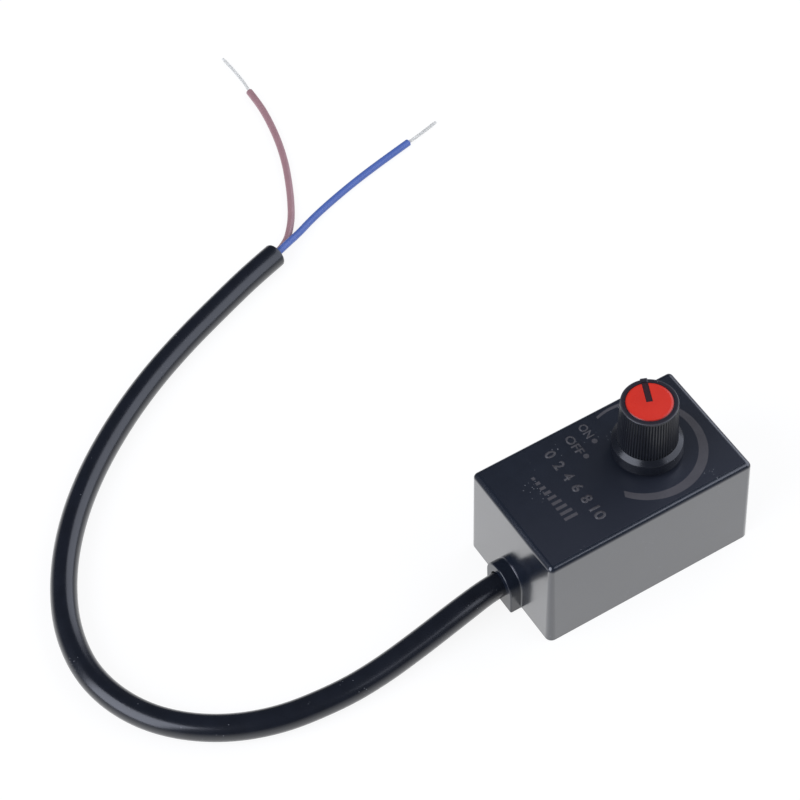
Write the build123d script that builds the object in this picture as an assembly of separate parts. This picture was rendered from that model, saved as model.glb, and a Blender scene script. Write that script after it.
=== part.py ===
from build123d import *
import os
from math import cos, pi, radians, sin, sqrt, tan

# An LED dimmer: a moulded case, a switched potentiometer with its knob, and a two-core cord.
# Millimetres, +Z up. The origin is the centre of the case's foot, on the surface that it stands on.
# +Y runs from the cord's end of the case to the knob's end, and +X is to the right of someone who
# reads the print on top.

# Case
CASE_WIDTH = 30.0
CASE_LENGTH = 50.0
CASE_HEIGHT = 24.7
CASE_DRAFT = 1.1  # degrees that each wall leans in
CASE_CORNER = 1.5
CASE_TOP_ROUND = 1.25
WALL = 1.8
TOP_WALL = 2.0
RIM_WALL = 1.0  # the wall beside the bottom cover
INNER_CORNER = 0.8
FIT = 0.1  # clearance between pieces that are pushed together by hand
THROUGH = 1.0  # how far a cutting shape runs on past what it cuts

# Bottom cover and its four snap hooks
COVER_THICKNESS = 1.2
COVER_EDGE_BREAK = 0.2
HOOK_WIDTH = 4.0
HOOK_THICKNESS = 1.0
HOOK_HEIGHT = 4.6
HOOK_NIB = 0.45
HOOK_NIB_HEIGHT = 1.3
HOOK_NIB_LAND = 0.3
HOOK_FROM_MIDDLE = 15.0
HOOK_LEAN_GAP = 0.2  # between the hook and the wall that leans over it

# Cord, its tie and the boss that it leaves through
JACKET_DIAMETER = 5.4
TIE_THICKNESS = 0.9
TIE_WIDTH = 2.4
TIE_HEAD = 4.0
TIE_HEAD_SINK = 0.5  # how far the head reaches in over the strap
TIE_TO_COVER = 0.4
TIE_TO_WALL = 0.3
JACKET_PAST_TIE = 0.6
BOSS_PROJECTION = 2.6
BOSS_WALL = 1.8
BOSS_ROUND = 0.3
BOSS_ROOT_ROUND = 0.2
WIRE_DIAMETER = 1.7
CONDUCTOR_DIAMETER = 0.6
STRIP_DEPTH = 3.0  # how far the free wires run back into the jacket's end
WIRE_FIT = 0.05

# Potentiometer
KNOB_TO_END = 16.5  # from the knob's axis to the end of the case's foot
POT_RADIUS = 8.3
BUSH_RADIUS = 3.5
BUSH_LENGTH = 6.8
BUSH_BREAK = 0.35
SHAFT_RADIUS = 3.0
SHAFT_RUNNING_FIT = 0.05
SHAFT_SLOT = 1.0
SHAFT_SLOT_DEPTH = 6.0
SHAFT_TEETH = 18
SHAFT_TOOTH_DEPTH = 0.25
SHAFT_KNURL_LENGTH = 7.0
SPIGOT_RADIUS = 2.0  # the shaft's lower end, inside the rotor
SPIGOT_TO_CAM_END = 1.0
PLATE_THICKNESS = 1.2
LUG_WIDTH = 2.8
LUG_THICKNESS = 1.2
LUG_HEIGHT = 1.0
LUG_TO_RIM = 0.8
WAFER_THICKNESS = 1.2
WAFER_TAIL = 11.4  # from the axis to the end of the tail that carries the tags
WAFER_TAIL_WIDTH = 14.0
WIPER_SPACE = 1.0
WIPER_SHEET = 0.25
WIPER_TO_TRACK = 0.15
WIPER_COLLAR_WIDTH = 1.7
WIPER_FINGER_WIDTH = 0.7
WIPER_FINGER_PITCH = 1.4
WIPER_FOOT_LENGTH = 0.6
WIPER_TIP_LENGTH = 0.7
WIPER_BEND = 0.1
ROTOR_THICKNESS = 1.8
MOVING_GAP = 0.3  # between what turns and what stands still
STOP_HEIGHT = 1.0
STOP_TAB_HALF_ANGLE = 13.0
STOP_POST_HALF_ANGLE = 14.0
RING_WALL = 0.8
RING_FLANGE = 0.8
RING_TAB_WIDTH = 3.0
RING_TAB_ANGLES = (35.0, 90.0, 145.0)
WASHER_THICKNESS = 0.5
WASHER_RADIUS = 6.0
NUT_HEIGHT = 2.0
NUT_FLATS = 10.0
THREAD_FIT = 0.05

# Switch behind the potentiometer
SWITCH_HEIGHT = 7.0
SWITCH_FLOOR = 1.2
SWITCH_WALL = 1.4
CAM_RADIUS = 3.4
CAM_LOBE_REACH = 5.0
CAM_LOBE_ROUND = 0.9
CAM_TO_FLOOR = 1.7
JOURNAL_RADIUS = 1.5
BLADE_GAP = 0.5  # from the cam's round part to the blade
BLADE_THICKNESS = 0.2
BLADE_WIDTH = 2.4
BLADE_ABOVE_CAM_END = 0.5
TAG_SHEET = 0.4
TAG_BEND_RADIUS = 0.35
CONTACT_LENGTH = 1.4

# Tags that go down to the circuit board
POT_TAG_PITCH = 5.0
POT_TAG_WIDTH = 1.6
POT_TAG_TO_BOARD_EDGE = 4.3
SWITCH_TAG_TO_BOARD_EDGE = 1.5
SWITCH_TAG_WIDTH = 1.3
PIN_WIDTH = 0.9
PIN_HOLE_RADIUS = 0.6
PIN_BELOW_BOARD = 1.0
RIVET_RADIUS = 0.6
RIVET_HEAD_RADIUS = 0.9
RIVET_HEAD = 0.3

# Circuit board and what it carries
BOARD_THICKNESS = 1.2
BOARD_TO_WALL = 1.0
BOARD_TO_POT = 0.7
BOARD_TO_JACKET = 0.5
STOP_RIB_WIDTH = 1.2
STOP_RIB_OVERLAP = 0.8
STOP_RIB_FROM_BOARD_END = 3.0
RESISTOR_FROM_END = 2.2
RESISTOR_PITCH = 10.16
RESISTOR_LENGTH = 6.3
RESISTOR_RADIUS = 1.15
RESISTOR_END_RADIUS = 1.3
RESISTOR_END_LENGTH = 1.4
ZENER_FROM_END = 5.8
ZENER_PITCH = 7.62
ZENER_LENGTH = 3.9
ZENER_RADIUS = 0.95
PART_LEAD_RADIUS = 0.25
TRANSISTOR_FROM_END = 9.6
TRANSISTOR_FROM_SIDE = 4.0
TRANSISTOR_RADIUS = 2.3
TRANSISTOR_FLAT = 1.4
TRANSISTOR_HEIGHT = 4.6
TRANSISTOR_STAND = 2.0
TRANSISTOR_PITCH = 1.27
TRANSISTOR_LEG = 0.4
LEAD_HOLES_FROM_END = 9.0
LEAD_HOLES_PITCH = 7.0
LEAD_HOLE_RADIUS = 0.5
SOLDER_RADIUS = 0.95
SOLDER_TOP_RADIUS = 0.6
SOLDER_HEIGHT = 0.8
TRANSISTOR_SOLDER_TOP_RADIUS = 0.45

# Knob. Heights are measured up from the case's top.
KNOB_GAP = 1.0
SKIRT_FOOT_RADIUS = 7.45
SKIRT_TOP_RADIUS = 7.36
SKIRT_HEIGHT = 2.7
CONE_HEIGHT = 0.9
GRIP_FOOT_RADIUS = 6.3
GRIP_TOP_RADIUS = 5.93
GRIP_HEIGHT = 10.75
GRIP_RIBS = 64
GRIP_RIB_DEPTH = 0.2
GRIP_LAND = 0.4  # the share of each rib's pitch that is its crest
RIM_HEIGHT = 0.45
RIM_ROUND = 0.2
SKIRT_ROUND = 0.15
CAP_RADIUS = 4.9
CAP_FIT = 0.05
CAP_DEPTH = 1.2
CAP_PROUD = 0.15
CAP_BEVEL = 0.2
POINTER_ANGLE = 157.0  # where the pointer stands at rest, from +X towards +Y
POINTER_WIDTH = 1.25
POINTER_FROM_AXIS = 0.0
POINTER_FIT = 0.05
POINTER_BELOW_CAP = 0.05
NUB_WIDTH = 1.5
NUB_TOP_WIDTH = 0.9
NUB_HEIGHT = 0.28
NUB_REACH = 0.12
NUB_DROP = 0.9
NUB_BEVEL = 0.17
KNOB_WEB = 1.3  # between the shaft's bore and the cap's recess
KNOB_BORE_FIT = 0.03
KNOB_BORE_END_GAP = 0.3
NUT_CLEARANCE = 0.7
NUT_TOP_CLEARANCE = 0.4
BUSH_CLEARANCE = 0.7

# How far the knob turns from rest, in degrees, and where the stops and the switch's cam stand
TURN_TO_OFF = 85.0
TURN_TO_FULL = 215.0
STOP_POST_ANGLE = 90.0
BLADE_ANGLE = 270.0
WIPER_ANGLE = POINTER_ANGLE + 180.0

# Worked out from the sizes above
LEAN = tan(radians(CASE_DRAFT))
KNOB_Y = CASE_LENGTH / 2 - KNOB_TO_END
INNER_WIDTH = CASE_WIDTH - 2 * WALL
INNER_LENGTH = CASE_LENGTH - 2 * WALL
INNER_TOP = CASE_HEIGHT - TOP_WALL
JACKET_RADIUS = JACKET_DIAMETER / 2
WIRE_RADIUS = WIRE_DIAMETER / 2
CONDUCTOR_RADIUS = CONDUCTOR_DIAMETER / 2
BOSS_BORE_RADIUS = JACKET_RADIUS + FIT
BOSS_RADIUS = BOSS_BORE_RADIUS + BOSS_WALL
CORD_HEIGHT = COVER_THICKNESS + TIE_TO_COVER + TIE_THICKNESS + JACKET_RADIUS
TIE_Y = -INNER_LENGTH / 2 + CORD_HEIGHT * LEAN + TIE_TO_WALL + TIE_WIDTH / 2
JACKET_INNER_END = TIE_Y + TIE_WIDTH / 2 + JACKET_PAST_TIE

PLATE_LOW = INNER_TOP - PLATE_THICKNESS
WAFER_LOW = PLATE_LOW - WAFER_THICKNESS
ROTOR_TOP = WAFER_LOW - WIPER_SPACE
ROTOR_LOW = ROTOR_TOP - ROTOR_THICKNESS
FLANGE_TOP = ROTOR_LOW - MOVING_GAP
RING_LOW = FLANGE_TOP - RING_FLANGE
RING_INNER = POT_RADIUS - RING_WALL
ROTOR_RADIUS = RING_INNER - STOP_HEIGHT - MOVING_GAP
RING_TAB_START = sqrt(RING_INNER ** 2 - (RING_TAB_WIDTH / 2) ** 2) - FIT
STOP_TAB_ANGLE = STOP_POST_ANGLE - (TURN_TO_OFF - TURN_TO_FULL) / 2 - 180.0
SWITCH_LOW = RING_LOW - SWITCH_HEIGHT
SWITCH_FLOOR_TOP = SWITCH_LOW + SWITCH_FLOOR
SWITCH_INNER = POT_RADIUS - SWITCH_WALL
CAM_LOW = SWITCH_FLOOR_TOP + CAM_TO_FLOOR
CAM_LOBE_ANGLE = BLADE_ANGLE - TURN_TO_OFF
SPIGOT_LOW = CAM_LOW + SPIGOT_TO_CAM_END
BLADE_FACE = CAM_RADIUS + BLADE_GAP
BLADE_LOW = CAM_LOW + BLADE_ABOVE_CAM_END
BLADE_BACK = BLADE_FACE + BLADE_THICKNESS
BLADE_HALF = sqrt((SWITCH_INNER - FIT) ** 2 - BLADE_BACK ** 2) - TAG_SHEET - FIT

BOARD_LOW = SWITCH_LOW
BOARD_TOP = BOARD_LOW + BOARD_THICKNESS
BOARD_FRONT = KNOB_Y - POT_RADIUS - BOARD_TO_POT
BOARD_END = JACKET_INNER_END + BOARD_TO_JACKET
BOARD_LENGTH = BOARD_FRONT - BOARD_END
BOARD_WIDTH = INNER_WIDTH - 2 * (BOARD_TOP * LEAN + BOARD_TO_WALL)
PIN_LOW = BOARD_LOW - PIN_BELOW_BOARD
POT_TAG_Y = BOARD_FRONT - POT_TAG_TO_BOARD_EDGE
SWITCH_TAG_Y = BOARD_FRONT - SWITCH_TAG_TO_BOARD_EDGE
RESISTOR_Y = BOARD_END + RESISTOR_FROM_END
ZENER_Y = BOARD_END + ZENER_FROM_END
TRANSISTOR_X = BOARD_WIDTH / 2 - TRANSISTOR_FROM_SIDE
TRANSISTOR_Y = BOARD_END + TRANSISTOR_FROM_END
LEAD_HOLE_Y = BOARD_END + LEAD_HOLES_FROM_END

WASHER_TOP = CASE_HEIGHT + WASHER_THICKNESS
NUT_TOP = WASHER_TOP + NUT_HEIGHT
BUSH_TOP = INNER_TOP + BUSH_LENGTH
KNOB_LOW = CASE_HEIGHT + KNOB_GAP
CONE_LOW = KNOB_LOW + SKIRT_HEIGHT
GRIP_LOW = CONE_LOW + CONE_HEIGHT
RIM_LOW = GRIP_LOW + GRIP_HEIGHT
KNOB_TOP = RIM_LOW + RIM_HEIGHT
CAP_LOW = KNOB_TOP - CAP_DEPTH
CAP_TOP = KNOB_TOP + CAP_PROUD
KNOB_BORE_TOP = CAP_LOW - KNOB_WEB
SHAFT_TOP = KNOB_BORE_TOP - KNOB_BORE_END_GAP
NUT_HOLLOW_RADIUS = NUT_FLATS / sqrt(3) + NUT_CLEARANCE
NUT_HOLLOW_TOP = NUT_TOP + NUT_TOP_CLEARANCE
BUSH_HOLLOW_TOP = BUSH_TOP + NUT_TOP_CLEARANCE

# The cord's route: x, y and height. It leaves the boss straight, comes down to the surface and
# sweeps round to the back, where the jacket is cut off.
LYING = JACKET_RADIUS
JACKET_ROUTE = [
    (0.0, JACKET_INNER_END, CORD_HEIGHT),
    (0.0, -31.0, CORD_HEIGHT),
    (2.0, -42.5, 4.2),
    (3.6, -55.0, 2.8),
    (4.4, -68.0, LYING),
    (2.3, -82.5, LYING),
    (-3.5, -94.8, LYING),
    (-13.2, -104.3, LYING),
    (-26.1, -109.0, LYING),
    (-39.5, -107.8, LYING),
    (-52.0, -102.5, LYING),
    (-63.3, -94.6, LYING),
    (-73.0, -85.0, LYING),
    (-81.3, -74.2, LYING),
    (-88.4, -62.7, LYING),
    (-94.4, -50.5, LYING),
    (-99.4, -38.0, LYING),
    (-103.3, -27.5, LYING),
    (-105.5, -20.2, LYING),
]

# The free wires start inside the jacket's end, one above the other, and end where they are stripped.
BROWN_START_HEIGHT = 1.75
BLUE_START_HEIGHT = 3.55
WIRE_LYING = WIRE_RADIUS
BROWN_ROUTE = [
    (-104.6, -23.1, BROWN_START_HEIGHT),
    (-106.1, -18.1, BROWN_START_HEIGHT),
    (-111.2, -14.1, 0.95),
    (-117.3, -9.3, WIRE_LYING),
    (-124.0, -6.0, WIRE_LYING),
    (-132.0, -3.2, WIRE_LYING),
    (-140.0, -0.9, WIRE_LYING),
    (-148.2, 0.7, WIRE_LYING),
    (-155.8, 1.3, WIRE_LYING),
]
BLUE_ROUTE = [
    (-105.2, -23.3, BLUE_START_HEIGHT),
    (-107.4, -16.0, BLUE_START_HEIGHT),
    (-111.2, -7.4, 2.2),
    (-114.9, 2.0, 1.1),
    (-117.6, 11.5, WIRE_LYING),
    (-119.3, 18.8, WIRE_LYING),
    (-120.3, 24.4, WIRE_LYING),
]
TIP_HEIGHT = 0.35
BROWN_TIP_ROUTE = [
    (-155.8, 1.3, WIRE_LYING),
    (-160.0, 1.6, 0.8),
    (-169.3, 1.4, TIP_HEIGHT),
]
BLUE_TIP_ROUTE = [
    (-120.3, 24.4, WIRE_LYING),
    (-120.9, 27.8, 0.8),
    (-122.6, 33.3, TIP_HEIGHT),
]

# The leads inside the case, from the jacket's inner end up to the board
LEAD_SIDE = WIRE_RADIUS + FIT
LEAD_STRAIGHT = 6.0
LEAD_LOW_RISE = 1.0
SHARE_OF_RUN = 0.45  # the part of a run that the arc at its end may take


def pot_place(shape):
    """Moves a shape from the potentiometer's own axis to its place in the case."""
    return Pos(0, KNOB_Y, 0) * shape


def disc(radius, low, high):
    """An upright cylinder about the axis."""
    return extrude(Pos(0, 0, low) * Circle(radius), amount=high - low)


def tube(outer, inner, low, high):
    """An upright pipe about the axis."""
    return extrude(Pos(0, 0, low) * (Circle(outer) - Circle(inner)), amount=high - low)


def block(x_low, x_high, y_low, y_high, low, high):
    """A box between its two corners."""
    middle = Pos((x_low + x_high) / 2, (y_low + y_high) / 2, (low + high) / 2)
    return middle * Box(x_high - x_low, y_high - y_low, high - low)


def sector(radius, angle, half_angle, low, high):
    """An upright wedge of a disc, centred on an angle."""
    reach = radius / cos(radians(half_angle))
    left = (reach * cos(radians(angle - half_angle)), reach * sin(radians(angle - half_angle)))
    right = (reach * cos(radians(angle + half_angle)), reach * sin(radians(angle + half_angle)))
    wedge = make_face(Polyline((0, 0), left, right, close=True))
    return extrude(Pos(0, 0, low) * (wedge & Circle(radius)), amount=high - low)


def leaning_block(width, length, corner, low, high):
    """A rounded block whose walls lean in like the case's, from its size at the foot."""
    narrower = 2 * low * LEAN
    face = Pos(0, 0, low) * RectangleRounded(width - narrower, length - narrower, corner)
    return extrude(face, amount=high - low, taper=CASE_DRAFT)


def edges_between(shape, low, high):
    """The edges of a shape whose whole boxes lie between two corners."""
    found = []
    for edge in shape.edges():
        box = edge.bounding_box()
        inside_low = box.min.X >= low[0] and box.min.Y >= low[1] and box.min.Z >= low[2]
        inside_high = box.max.X <= high[0] and box.max.Y <= high[1] and box.max.Z <= high[2]
        if inside_low and inside_high:
            found.append(edge)
    return found


def arch(radius, y, depth):
    """An arch-shaped block that stands on the foot's level and runs along +Y from y."""
    outline = Pos(0, CORD_HEIGHT) * Circle(radius)
    outline += Pos(0, CORD_HEIGHT / 2) * Rectangle(2 * radius, CORD_HEIGHT)
    return extrude(Plane.XZ.offset(-y) * outline, amount=-depth)


def lying_disc(radius, y_low, y_high, x=0.0, z=CORD_HEIGHT):
    """A cylinder along Y."""
    return extrude(Plane.XZ.offset(-y_low) * Pos(x, z) * Circle(radius), amount=-(y_high - y_low))


def case_outside():
    """The case's outer form with its boss, before it is hollowed."""
    body = leaning_block(CASE_WIDTH, CASE_LENGTH, CASE_CORNER, 0, CASE_HEIGHT)
    top_edges = body.faces().sort_by(Axis.Z)[-1].edges()
    body = fillet(top_edges, CASE_TOP_ROUND)
    front = -CASE_LENGTH / 2 - BOSS_PROJECTION
    body += arch(BOSS_RADIUS, front, BOSS_PROJECTION + WALL / 2)
    near = BOSS_ROOT_ROUND / 2
    reach = BOSS_RADIUS + near
    top = CORD_HEIGHT + reach
    wall_low = -CASE_LENGTH / 2 - near
    wall_high = -CASE_LENGTH / 2 + top * LEAN + near
    root = edges_between(body, (-reach, wall_low, -near), (reach, wall_high, top))
    root = [edge for edge in root if edge.bounding_box().max.Z > near]
    body = fillet(root, BOSS_ROOT_ROUND)
    rim = edges_between(body, (-reach, front - near, -near), (reach, front + near, top))
    rim = [edge for edge in rim if edge.bounding_box().max.Z > near]
    return fillet(rim, BOSS_ROUND)


def hook_places():
    """Side and y of each snap hook."""
    return [(side, y) for side in (-1, 1) for y in (-HOOK_FROM_MIDDLE, HOOK_FROM_MIDDLE)]


def hook_face():
    """How far from the middle plane the hooks' outer faces stand."""
    return INNER_WIDTH / 2 - HOOK_LEAN_GAP


def mirrored_block(side, x_low, x_high, y_low, y_high, low, high):
    """A box on one side of the middle plane; its x sizes are measured away from that plane."""
    if side > 0:
        return block(x_low, x_high, y_low, y_high, low, high)
    return block(-x_high, -x_low, y_low, y_high, low, high)


def hook_pockets():
    """The pockets in the long walls that the hooks' nibs snap into."""
    pockets = []
    nib_top = COVER_THICKNESS + HOOK_HEIGHT
    low = nib_top - HOOK_NIB_HEIGHT - FIT
    deep = hook_face() + HOOK_NIB + FIT
    half = HOOK_WIDTH / 2 + FIT
    for side, y in hook_places():
        start = hook_face() - FIT
        pockets.append(mirrored_block(side, start, deep, y - half, y + half, low, nib_top + FIT))
    return pockets


def stop_ribs():
    """The ribs inside the long walls that the board is pushed up against."""
    ribs = []
    inner = BOARD_WIDTH / 2 - STOP_RIB_OVERLAP
    outer = CASE_WIDTH / 2 - WALL / 2 - INNER_TOP * LEAN
    half = STOP_RIB_WIDTH / 2
    for side in (-1, 1):
        for y in (BOARD_END + STOP_RIB_FROM_BOARD_END, BOARD_FRONT - STOP_RIB_FROM_BOARD_END):
            top = INNER_TOP + TOP_WALL / 2
            ribs.append(mirrored_block(side, inner, outer, y - half, y + half, BOARD_TOP, top))
    return ribs


def lug_place():
    """The middle of the potentiometer's locating lug, from its axis."""
    return POT_RADIUS - LUG_TO_RIM - LUG_THICKNESS / 2


def case_shell():
    """The box, open below, with its cord boss, bush hole, rib stops and pockets."""
    body = case_outside()
    body -= leaning_block(INNER_WIDTH, INNER_LENGTH, INNER_CORNER, 0, INNER_TOP)
    rebate = RectangleRounded(CASE_WIDTH - 2 * RIM_WALL, CASE_LENGTH - 2 * RIM_WALL, INNER_CORNER)
    body -= extrude(rebate, amount=COVER_THICKNESS)
    body -= lying_disc(BOSS_BORE_RADIUS, -CASE_LENGTH, -INNER_LENGTH / 2 + WALL)
    body -= pot_place(disc(BUSH_RADIUS + FIT, INNER_TOP - THROUGH, CASE_HEIGHT + THROUGH))
    slot = Box(LUG_THICKNESS + 2 * FIT, LUG_WIDTH + 2 * FIT, 2 * (LUG_HEIGHT + FIT))
    body -= pot_place(Pos(lug_place(), 0, INNER_TOP) * slot)
    body += stop_ribs()
    body -= hook_pockets()
    return body


def snap_hook(side, y):
    """One hook of the cover: an arm with a nib that slopes on its upper side."""
    top = COVER_THICKNESS + HOOK_HEIGHT
    face = hook_face()
    ramp = top - HOOK_NIB_HEIGHT
    outline = Polyline(
        (face - HOOK_THICKNESS, COVER_THICKNESS / 2),
        (face, COVER_THICKNESS / 2),
        (face, ramp),
        (face + HOOK_NIB, ramp),
        (face + HOOK_NIB, ramp + HOOK_NIB_LAND),
        (face, top),
        (face - HOOK_THICKNESS, top),
        close=True,
    )
    hook = extrude(Plane.XZ.offset(-y) * make_face(outline), amount=HOOK_WIDTH / 2, both=True)
    return hook if side > 0 else mirror(hook, Plane.YZ)


def bottom_cover():
    """The plate that closes the case from below, flush with its rim."""
    width = CASE_WIDTH - 2 * RIM_WALL - 2 * FIT
    length = CASE_LENGTH - 2 * RIM_WALL - 2 * FIT
    plate = extrude(RectangleRounded(width, length, INNER_CORNER - FIT), amount=COVER_THICKNESS)
    plate = chamfer(plate.faces().sort_by(Axis.Z)[0].edges(), COVER_EDGE_BREAK)
    for side, y in hook_places():
        plate += snap_hook(side, y)
    return plate


def ribbed_outline(crest, depth, count, land):
    """A closed outline of ribs about the axis: each has a flat crest and slopes to its root."""
    points = []
    pitch = 2 * pi / count
    for rib in range(count):
        start = rib * pitch
        points.append(((crest - depth) * cos(start), (crest - depth) * sin(start)))
        for share in (0.5 - land / 2, 0.5 + land / 2):
            angle = start + share * pitch
            points.append((crest * cos(angle), crest * sin(angle)))
    return make_face(Polyline(*points, close=True))


def knob_skirt():
    """The smooth skirt and the cone above it, turned about the axis."""
    outline = Polyline(
        (0, KNOB_LOW),
        (SKIRT_FOOT_RADIUS, KNOB_LOW),
        (SKIRT_TOP_RADIUS, CONE_LOW),
        (GRIP_FOOT_RADIUS, GRIP_LOW),
        (0, GRIP_LOW),
        close=True,
    )
    skirt = revolve(Plane.XZ * make_face(outline), Axis.Z)
    corners = skirt.edges().filter_by(GeomType.CIRCLE).sort_by(Axis.Z)[:2]
    return fillet(corners, SKIRT_ROUND)


def knob_rim():
    """The smooth ring above the ribs, with its rounded edge."""
    rim = disc(GRIP_TOP_RADIUS, RIM_LOW, KNOB_TOP)
    return fillet(rim.faces().sort_by(Axis.Z)[-1].edges(), RIM_ROUND)


def pointer_nub():
    """The small ridge that carries the pointer over the rim and down its side, along +X."""
    outline = Polyline(
        (-NUB_WIDTH / 2, KNOB_TOP - NUB_DROP),
        (NUB_WIDTH / 2, KNOB_TOP - NUB_DROP),
        (NUB_WIDTH / 2, KNOB_TOP),
        (NUB_TOP_WIDTH / 2, KNOB_TOP + NUB_HEIGHT),
        (-NUB_TOP_WIDTH / 2, KNOB_TOP + NUB_HEIGHT),
        (-NUB_WIDTH / 2, KNOB_TOP),
        close=True,
    )
    start = CAP_RADIUS + CAP_FIT
    reach = GRIP_TOP_RADIUS + NUB_REACH
    nub = extrude(Plane.YZ.offset(start) * make_face(outline), amount=reach - start)
    outer = nub.faces().sort_by(Axis.X)[-1].edges().sort_by(Axis.Z)[-1]
    return chamfer(outer, NUB_BEVEL)


def knob_body():
    """The push-on knob: skirt, ribbed grip, rim, pointer, cap recess and the hollows below."""
    foot = Pos(0, 0, GRIP_LOW) * ribbed_outline(GRIP_FOOT_RADIUS, GRIP_RIB_DEPTH, GRIP_RIBS, GRIP_LAND)
    head = Pos(0, 0, RIM_LOW) * ribbed_outline(GRIP_TOP_RADIUS, GRIP_RIB_DEPTH, GRIP_RIBS, GRIP_LAND)
    body = knob_skirt() + loft([foot, head], ruled=True) + knob_rim()
    body -= disc(CAP_RADIUS + CAP_FIT, CAP_LOW, CAP_TOP)
    body -= disc(NUT_HOLLOW_RADIUS, KNOB_LOW - THROUGH, NUT_HOLLOW_TOP)
    body -= disc(BUSH_RADIUS + BUSH_CLEARANCE, KNOB_LOW, BUSH_HOLLOW_TOP)
    body -= disc(SHAFT_RADIUS + KNOB_BORE_FIT, KNOB_LOW, KNOB_BORE_TOP)
    half = POINTER_WIDTH / 2
    overlap = CAP_RADIUS + 2 * CAP_FIT
    body += block(POINTER_FROM_AXIS, overlap, -half, half, CAP_LOW, CAP_TOP - POINTER_BELOW_CAP)
    body += pointer_nub()
    return pot_place(Rot(0, 0, POINTER_ANGLE) * body)


def knob_cap():
    """The disc set into the knob's top, with a slot for the pointer bar."""
    cap = disc(CAP_RADIUS, CAP_LOW, CAP_TOP)
    cap = chamfer(cap.faces().sort_by(Axis.Z)[-1].edges(), CAP_BEVEL)
    half = POINTER_WIDTH / 2 + POINTER_FIT
    cap -= block(POINTER_FROM_AXIS - POINTER_FIT, CAP_RADIUS + THROUGH, -half, half, CAP_LOW, CAP_TOP)
    return pot_place(Rot(0, 0, POINTER_ANGLE) * cap)


def pot_shaft():
    """The shaft: a ribbed and split upper end, a plain middle and a thinner spigot below."""
    knurl_low = SHAFT_TOP - SHAFT_KNURL_LENGTH
    outline = ribbed_outline(SHAFT_RADIUS, SHAFT_TOOTH_DEPTH, SHAFT_TEETH, GRIP_LAND)
    shaft = extrude(Pos(0, 0, knurl_low) * outline, amount=SHAFT_KNURL_LENGTH)
    shaft += disc(SHAFT_RADIUS, ROTOR_TOP, knurl_low)
    shaft += disc(SPIGOT_RADIUS, SPIGOT_LOW, ROTOR_TOP)
    half = SHAFT_SLOT / 2
    slot = block(-SHAFT_RADIUS, SHAFT_RADIUS, -half, half, SHAFT_TOP - SHAFT_SLOT_DEPTH, SHAFT_TOP)
    return pot_place(Rot(0, 0, POINTER_ANGLE) * (shaft - slot))


def cam_outline():
    """The switch's cam: a round part with one lobe, along +X."""
    lobe_middle = CAM_LOBE_REACH - CAM_LOBE_ROUND
    outline = Circle(CAM_RADIUS) + Pos(lobe_middle, 0) * Circle(CAM_LOBE_ROUND)
    return outline + Pos(lobe_middle / 2, 0) * Rectangle(lobe_middle, 2 * CAM_LOBE_ROUND)


def pot_rotor():
    """The rotor: disc with a stop tab, cam below it and a journal for the switch's floor."""
    rotor = disc(ROTOR_RADIUS, ROTOR_LOW, ROTOR_TOP)
    tab_reach = RING_INNER - MOVING_GAP
    rotor += sector(tab_reach, STOP_TAB_ANGLE, STOP_TAB_HALF_ANGLE, ROTOR_LOW, ROTOR_TOP)
    cam = extrude(Pos(0, 0, CAM_LOW) * cam_outline(), amount=ROTOR_LOW - CAM_LOW)
    rotor += Rot(0, 0, CAM_LOBE_ANGLE) * cam
    rotor += disc(JOURNAL_RADIUS, SWITCH_LOW + SWITCH_FLOOR / 2, CAM_LOW)
    rotor -= disc(SPIGOT_RADIUS, SPIGOT_LOW, ROTOR_TOP)
    return pot_place(rotor)


def pot_wiper():
    """The spring contact: a collar on the rotor and two fingers that reach up to the track."""
    bore_radius = SHAFT_RADIUS + WIRE_FIT
    foot = bore_radius + WIPER_COLLAR_WIDTH
    sheet_top = ROTOR_TOP + WIPER_SHEET
    collar = tube(foot, bore_radius, ROTOR_TOP, sheet_top)
    tip = WAFER_LOW - WIPER_TO_TRACK
    start = foot - WIPER_FOOT_LENGTH
    bend = ROTOR_RADIUS - WIPER_TIP_LENGTH
    outline = Polyline(
        (start, ROTOR_TOP),
        (foot, ROTOR_TOP),
        (bend, tip - WIPER_SHEET),
        (ROTOR_RADIUS, tip - WIPER_SHEET),
        (ROTOR_RADIUS, tip),
        (bend - WIPER_BEND, tip),
        (foot - WIPER_BEND, sheet_top),
        (start, sheet_top),
        close=True,
    )
    finger = extrude(Plane.XZ * make_face(outline), amount=WIPER_FINGER_WIDTH / 2, both=True)
    for side in (-1, 1):
        collar += Pos(0, side * WIPER_FINGER_PITCH / 2, 0) * finger
    return pot_place(Rot(0, 0, WIPER_ANGLE) * collar)


def rim_notches(low, high):
    """The notches in plate and wafer that the ring's tabs pass through."""
    half = RING_TAB_WIDTH / 2 + FIT
    notches = []
    for angle in RING_TAB_ANGLES:
        notch = block(RING_TAB_START, POT_RADIUS + THROUGH, -half, half, low, high)
        notches.append(Rot(0, 0, angle) * notch)
    return notches


def pot_bushing():
    """The front plate with its threaded bush and locating lug."""
    bush = disc(POT_RADIUS, PLATE_LOW, INNER_TOP) + disc(BUSH_RADIUS, PLATE_LOW, BUSH_TOP)
    rim = bush.faces().sort_by(Axis.Z)[-1].edges()
    bush = chamfer(rim, BUSH_BREAK)
    lug = Box(LUG_THICKNESS, LUG_WIDTH, LUG_HEIGHT, align=(Align.CENTER, Align.CENTER, Align.MIN))
    bush += Pos(lug_place(), 0, INNER_TOP) * lug
    bush -= disc(SHAFT_RADIUS + SHAFT_RUNNING_FIT, PLATE_LOW, BUSH_TOP)
    bush -= rim_notches(PLATE_LOW, INNER_TOP)
    return pot_place(bush)


def pot_washer():
    """The flat washer on the case's top."""
    return pot_place(tube(WASHER_RADIUS, BUSH_RADIUS + THREAD_FIT, CASE_HEIGHT, WASHER_TOP))


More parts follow.
